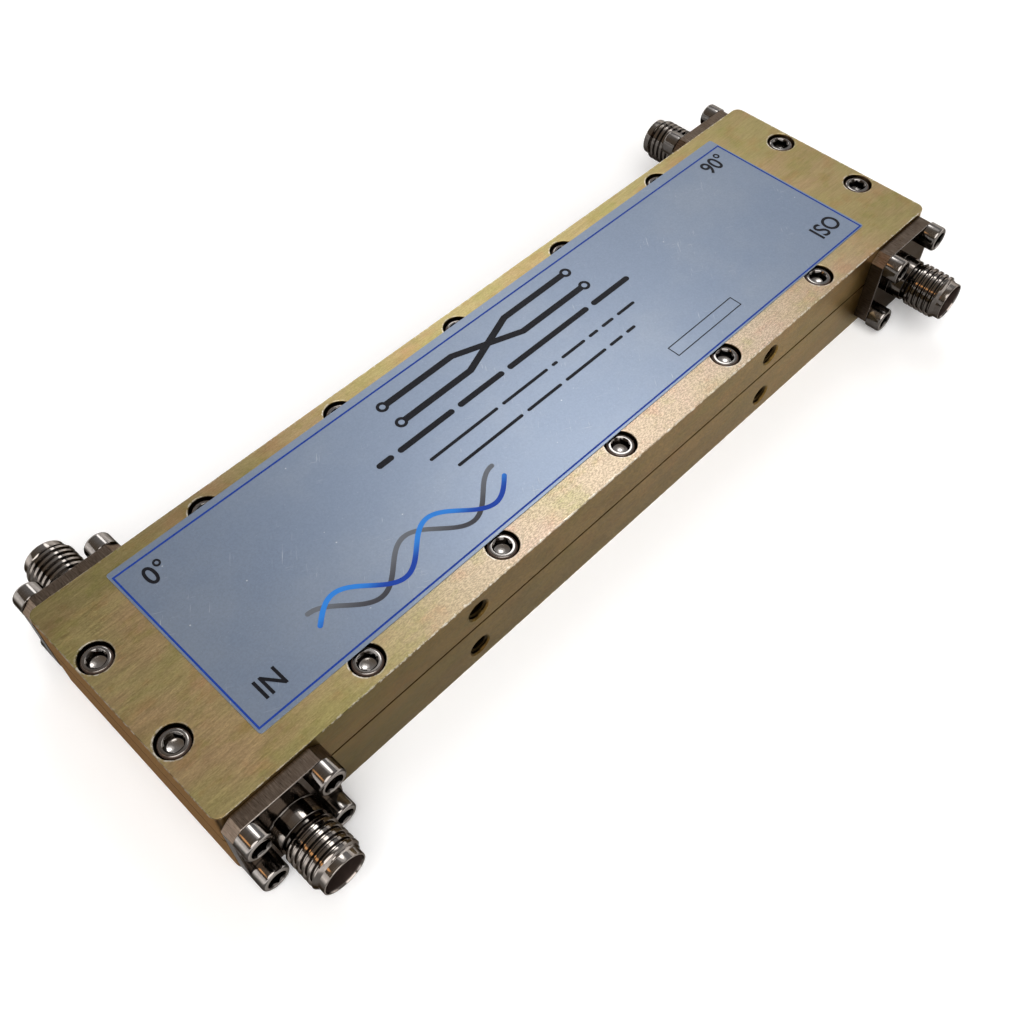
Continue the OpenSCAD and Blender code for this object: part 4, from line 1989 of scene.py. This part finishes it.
@dataclass
class Studio:
    """A pale round floor that rises into a low wall, soft lamps and a dim room. Sizes are in metres."""

    floor_r: float = 0.7
    wall_h: float = 0.34
    curve_r: float = 0.15
    floor_colour: Colour = (0.90, 0.90, 0.90)
    floor_drop: float = 0.02
    glow: Point2 = (0.20, 0.8)
    glow_reach: Point2 = (0.14, 0.45)
    wall_glow: Point2 = (1.0, 0.3)
    lamps: tuple[Lamp, ...] = (
        Lamp("front", 232.0, 58.0, 1.05, 0.73, (1.0, 1.0, 1.0), 1.0),
        Lamp("window", 38.0, 58.0, 0.95, 0.034, (0.98, 1.0, 1.02), 1.8),
        Lamp("window_middle", 35.5, 54.5, 0.52, 0.070, (0.98, 1.0, 1.02), 1.8),
        Lamp("back_window", 55.0, 33.0, 0.42, 0.026, (0.98, 1.0, 1.02), 1.8),
        Lamp("room_lamp", 157.0, 43.0, 0.30, 0.009, (1.0, 0.5, 0.18), 1.8),
    )
    room_bright: Colour = (0.40, 0.41, 0.43)
    room_dark: Colour = (0.20, 0.165, 0.13)
    room_way: Point3 = (0.85, 0.35, 0.0)
    room_turn: Point2 = (-0.3, 0.9)

    def build(self) -> None:
        """Builds the floor, the lamps and the room's light."""
        bend = self.floor_r - self.curve_r
        profile = [(0.0, 0.0), (bend, 0.0), *arc((bend, self.curve_r), self.curve_r, -90, 0, 12)[1:],
                   (self.floor_r, self.wall_h)]
        floor = revolved([(r / MM, z / MM - self.floor_drop) for r, z in profile], 96).to_object("floor")
        to_metres(floor)
        floor.data.shade_smooth()
        floor.data.materials.append(self.floor_material())
        for lamp in self.lamps:
            lamp.hang()
        self.light_room()

    def floor_material(self) -> Material:
        """A pale paint that adds a little light of its own to what the camera and shiny metal see.

        Returns:
            The material.
        """
        made = bpy.data.materials.new("floor_paint")
        made.use_nodes = True
        made.node_tree.nodes.clear()
        board = NodeBoard(made.node_tree)
        paint = board.place("ShaderNodeBsdfDiffuse", {"Color": (*self.floor_colour, 1.0)})
        path = board.place("ShaderNodeLightPath")
        seen = board.read(path, "Is Camera Ray") + board.read(path, "Is Glossy Ray")
        seen = board.math("ADD", seen, board.read(path, "Is Transmission Ray"), clamp=True)
        x, y, z = board.read(board.place("ShaderNodeTexCoord"), "Object").parts()
        away = board.joined(x, y, 0.0).length()
        glow = away.ramp(*self.glow_reach, *self.glow) * z.ramp(0.05, self.wall_h, *self.wall_glow)
        shine = board.place("ShaderNodeEmission", {"Strength": seen * glow})
        both = board.place("ShaderNodeAddShader", {0: board.read(paint), 1: board.read(shine)})
        board.place("ShaderNodeOutputMaterial", {"Surface": board.read(both)})
        return made

    def light_room(self) -> None:
        """Gives the room its dim light, brighter on the side of the window."""
        world = bpy.data.worlds.new("room")
        world.use_nodes = True
        board = NodeBoard(world.node_tree)
        way = board.read(board.place("ShaderNodeTexCoord"), "Generated")
        toward = board.vector("DOT_PRODUCT", way, tuple(Vector(self.room_way).normalized()))
        colour = board.tint(toward.ramp(*self.room_turn), self.room_dark, self.room_bright)
        board.fill(world.node_tree.nodes["Background"], {"Color": colour})
        bpy.context.scene.world = world


@dataclass
class PhotoCamera:
    """The camera at the photograph's viewing angle, in millimetres and degrees."""

    focal_px: float = 1145.4
    eye: Point3 = (-72.278, -65.574, 122.785)
    aim: Point3 = (-12.881, -8.181, 7.15)
    roll: float = 0.079
    sensor_mm: float = 36.0

    def build(self) -> None:
        """Makes the camera and sets it as the scene's."""
        data = bpy.data.cameras.new("camera")
        data.sensor_width = self.sensor_mm
        data.lens = self.focal_px / IMAGE_PX * self.sensor_mm
        data.clip_start, data.clip_end = 0.005, 10.0
        level = (Vector(self.aim) - Vector(self.eye)).to_track_quat("-Z", "Y")
        rolled = level @ Quaternion((0.0, 0.0, 1.0), math.radians(self.roll))
        bpy.context.scene.camera = aimed("camera", data, Vector(self.eye) * MM, rolled)


def dress_object(frame: dict) -> None:
    """Builds and dresses every part of the object.
    """
    seats = Seats().measure(SocketScrew.head_h)
    Housing(seats).dress(GoldAluminium(seats).material())
    Jack(seats).dress(TurnedSteel("jack_steel").material())
    # The screws' bore colour is the painted shade of the heads' sunk shoulders; they have no bore.
    screw_steel = TurnedSteel(
        "screw_steel", steel=(0.285, 0.262, 0.243), stain=(0.22, 0.197, 0.178), roughness=(0.08, 0.16),
        ring_depth=0.0005, flange_top=-20.0, bore=(0.085, 0.058, 0.046), bore_r=-1.0, painted_shade_shoulder=(1.52, 13.64),
        socket_z=2.17)
    Screws(seats).dress(screw_steel.material())
    Label(seats).dress(FoilLabel().material(), {name: ink.material() for name, ink in {
        "black": Ink("black_ink", (0.006, 0.006, 0.009), (0.011, 0.011, 0.015)),
        "blue": Ink("blue_ink", (0.010, 0.040, 0.26), (0.015, 0.055, 0.33)),
        "grey": Ink("grey_ink", (0.05, 0.05, 0.06), (0.13, 0.14, 0.16), fade=(-9.5, -5.3)),
        "fade": Ink("shaded_blue_ink", (0.012, 0.05, 0.33), (0.03, 0.20, 0.62), fade=(-8.6, -6.2)),
    }.items()})
    InnerParts(frame["nodes"]).dress({ending: finish.material() for ending, finish in {
        "insulator": Insulation("insulator_white", (0.84, 0.84, 0.81), (0.76, 0.76, 0.73)),
        "contact": PlainMetal("contact_gold", (0.86, 0.62, 0.27), (0.74, 0.50, 0.20)),
        "board": Insulation("board_laminate", (0.78, 0.74, 0.60), (0.66, 0.61, 0.46), weave=0.6),
        "track": PlainMetal("track_copper", (0.80, 0.42, 0.26), (0.62, 0.30, 0.18), run=(12.0, 1.0, 1.0)),
        "pins": PlainMetal("pin_steel", (0.56, 0.55, 0.54), (0.45, 0.43, 0.41), run=(1.0, 1.0, 9.0)),
    }.items()})


def main() -> None:
    """Builds the whole scene."""
    logging.basicConfig(level=logging.INFO, format="%(message)s")
    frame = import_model()
    bpy.context.scene.view_settings.view_transform = "Standard"
    PhotoCamera().build()
    Studio().build()
    dress_object(frame)


if __name__ == "__main__":
    main()
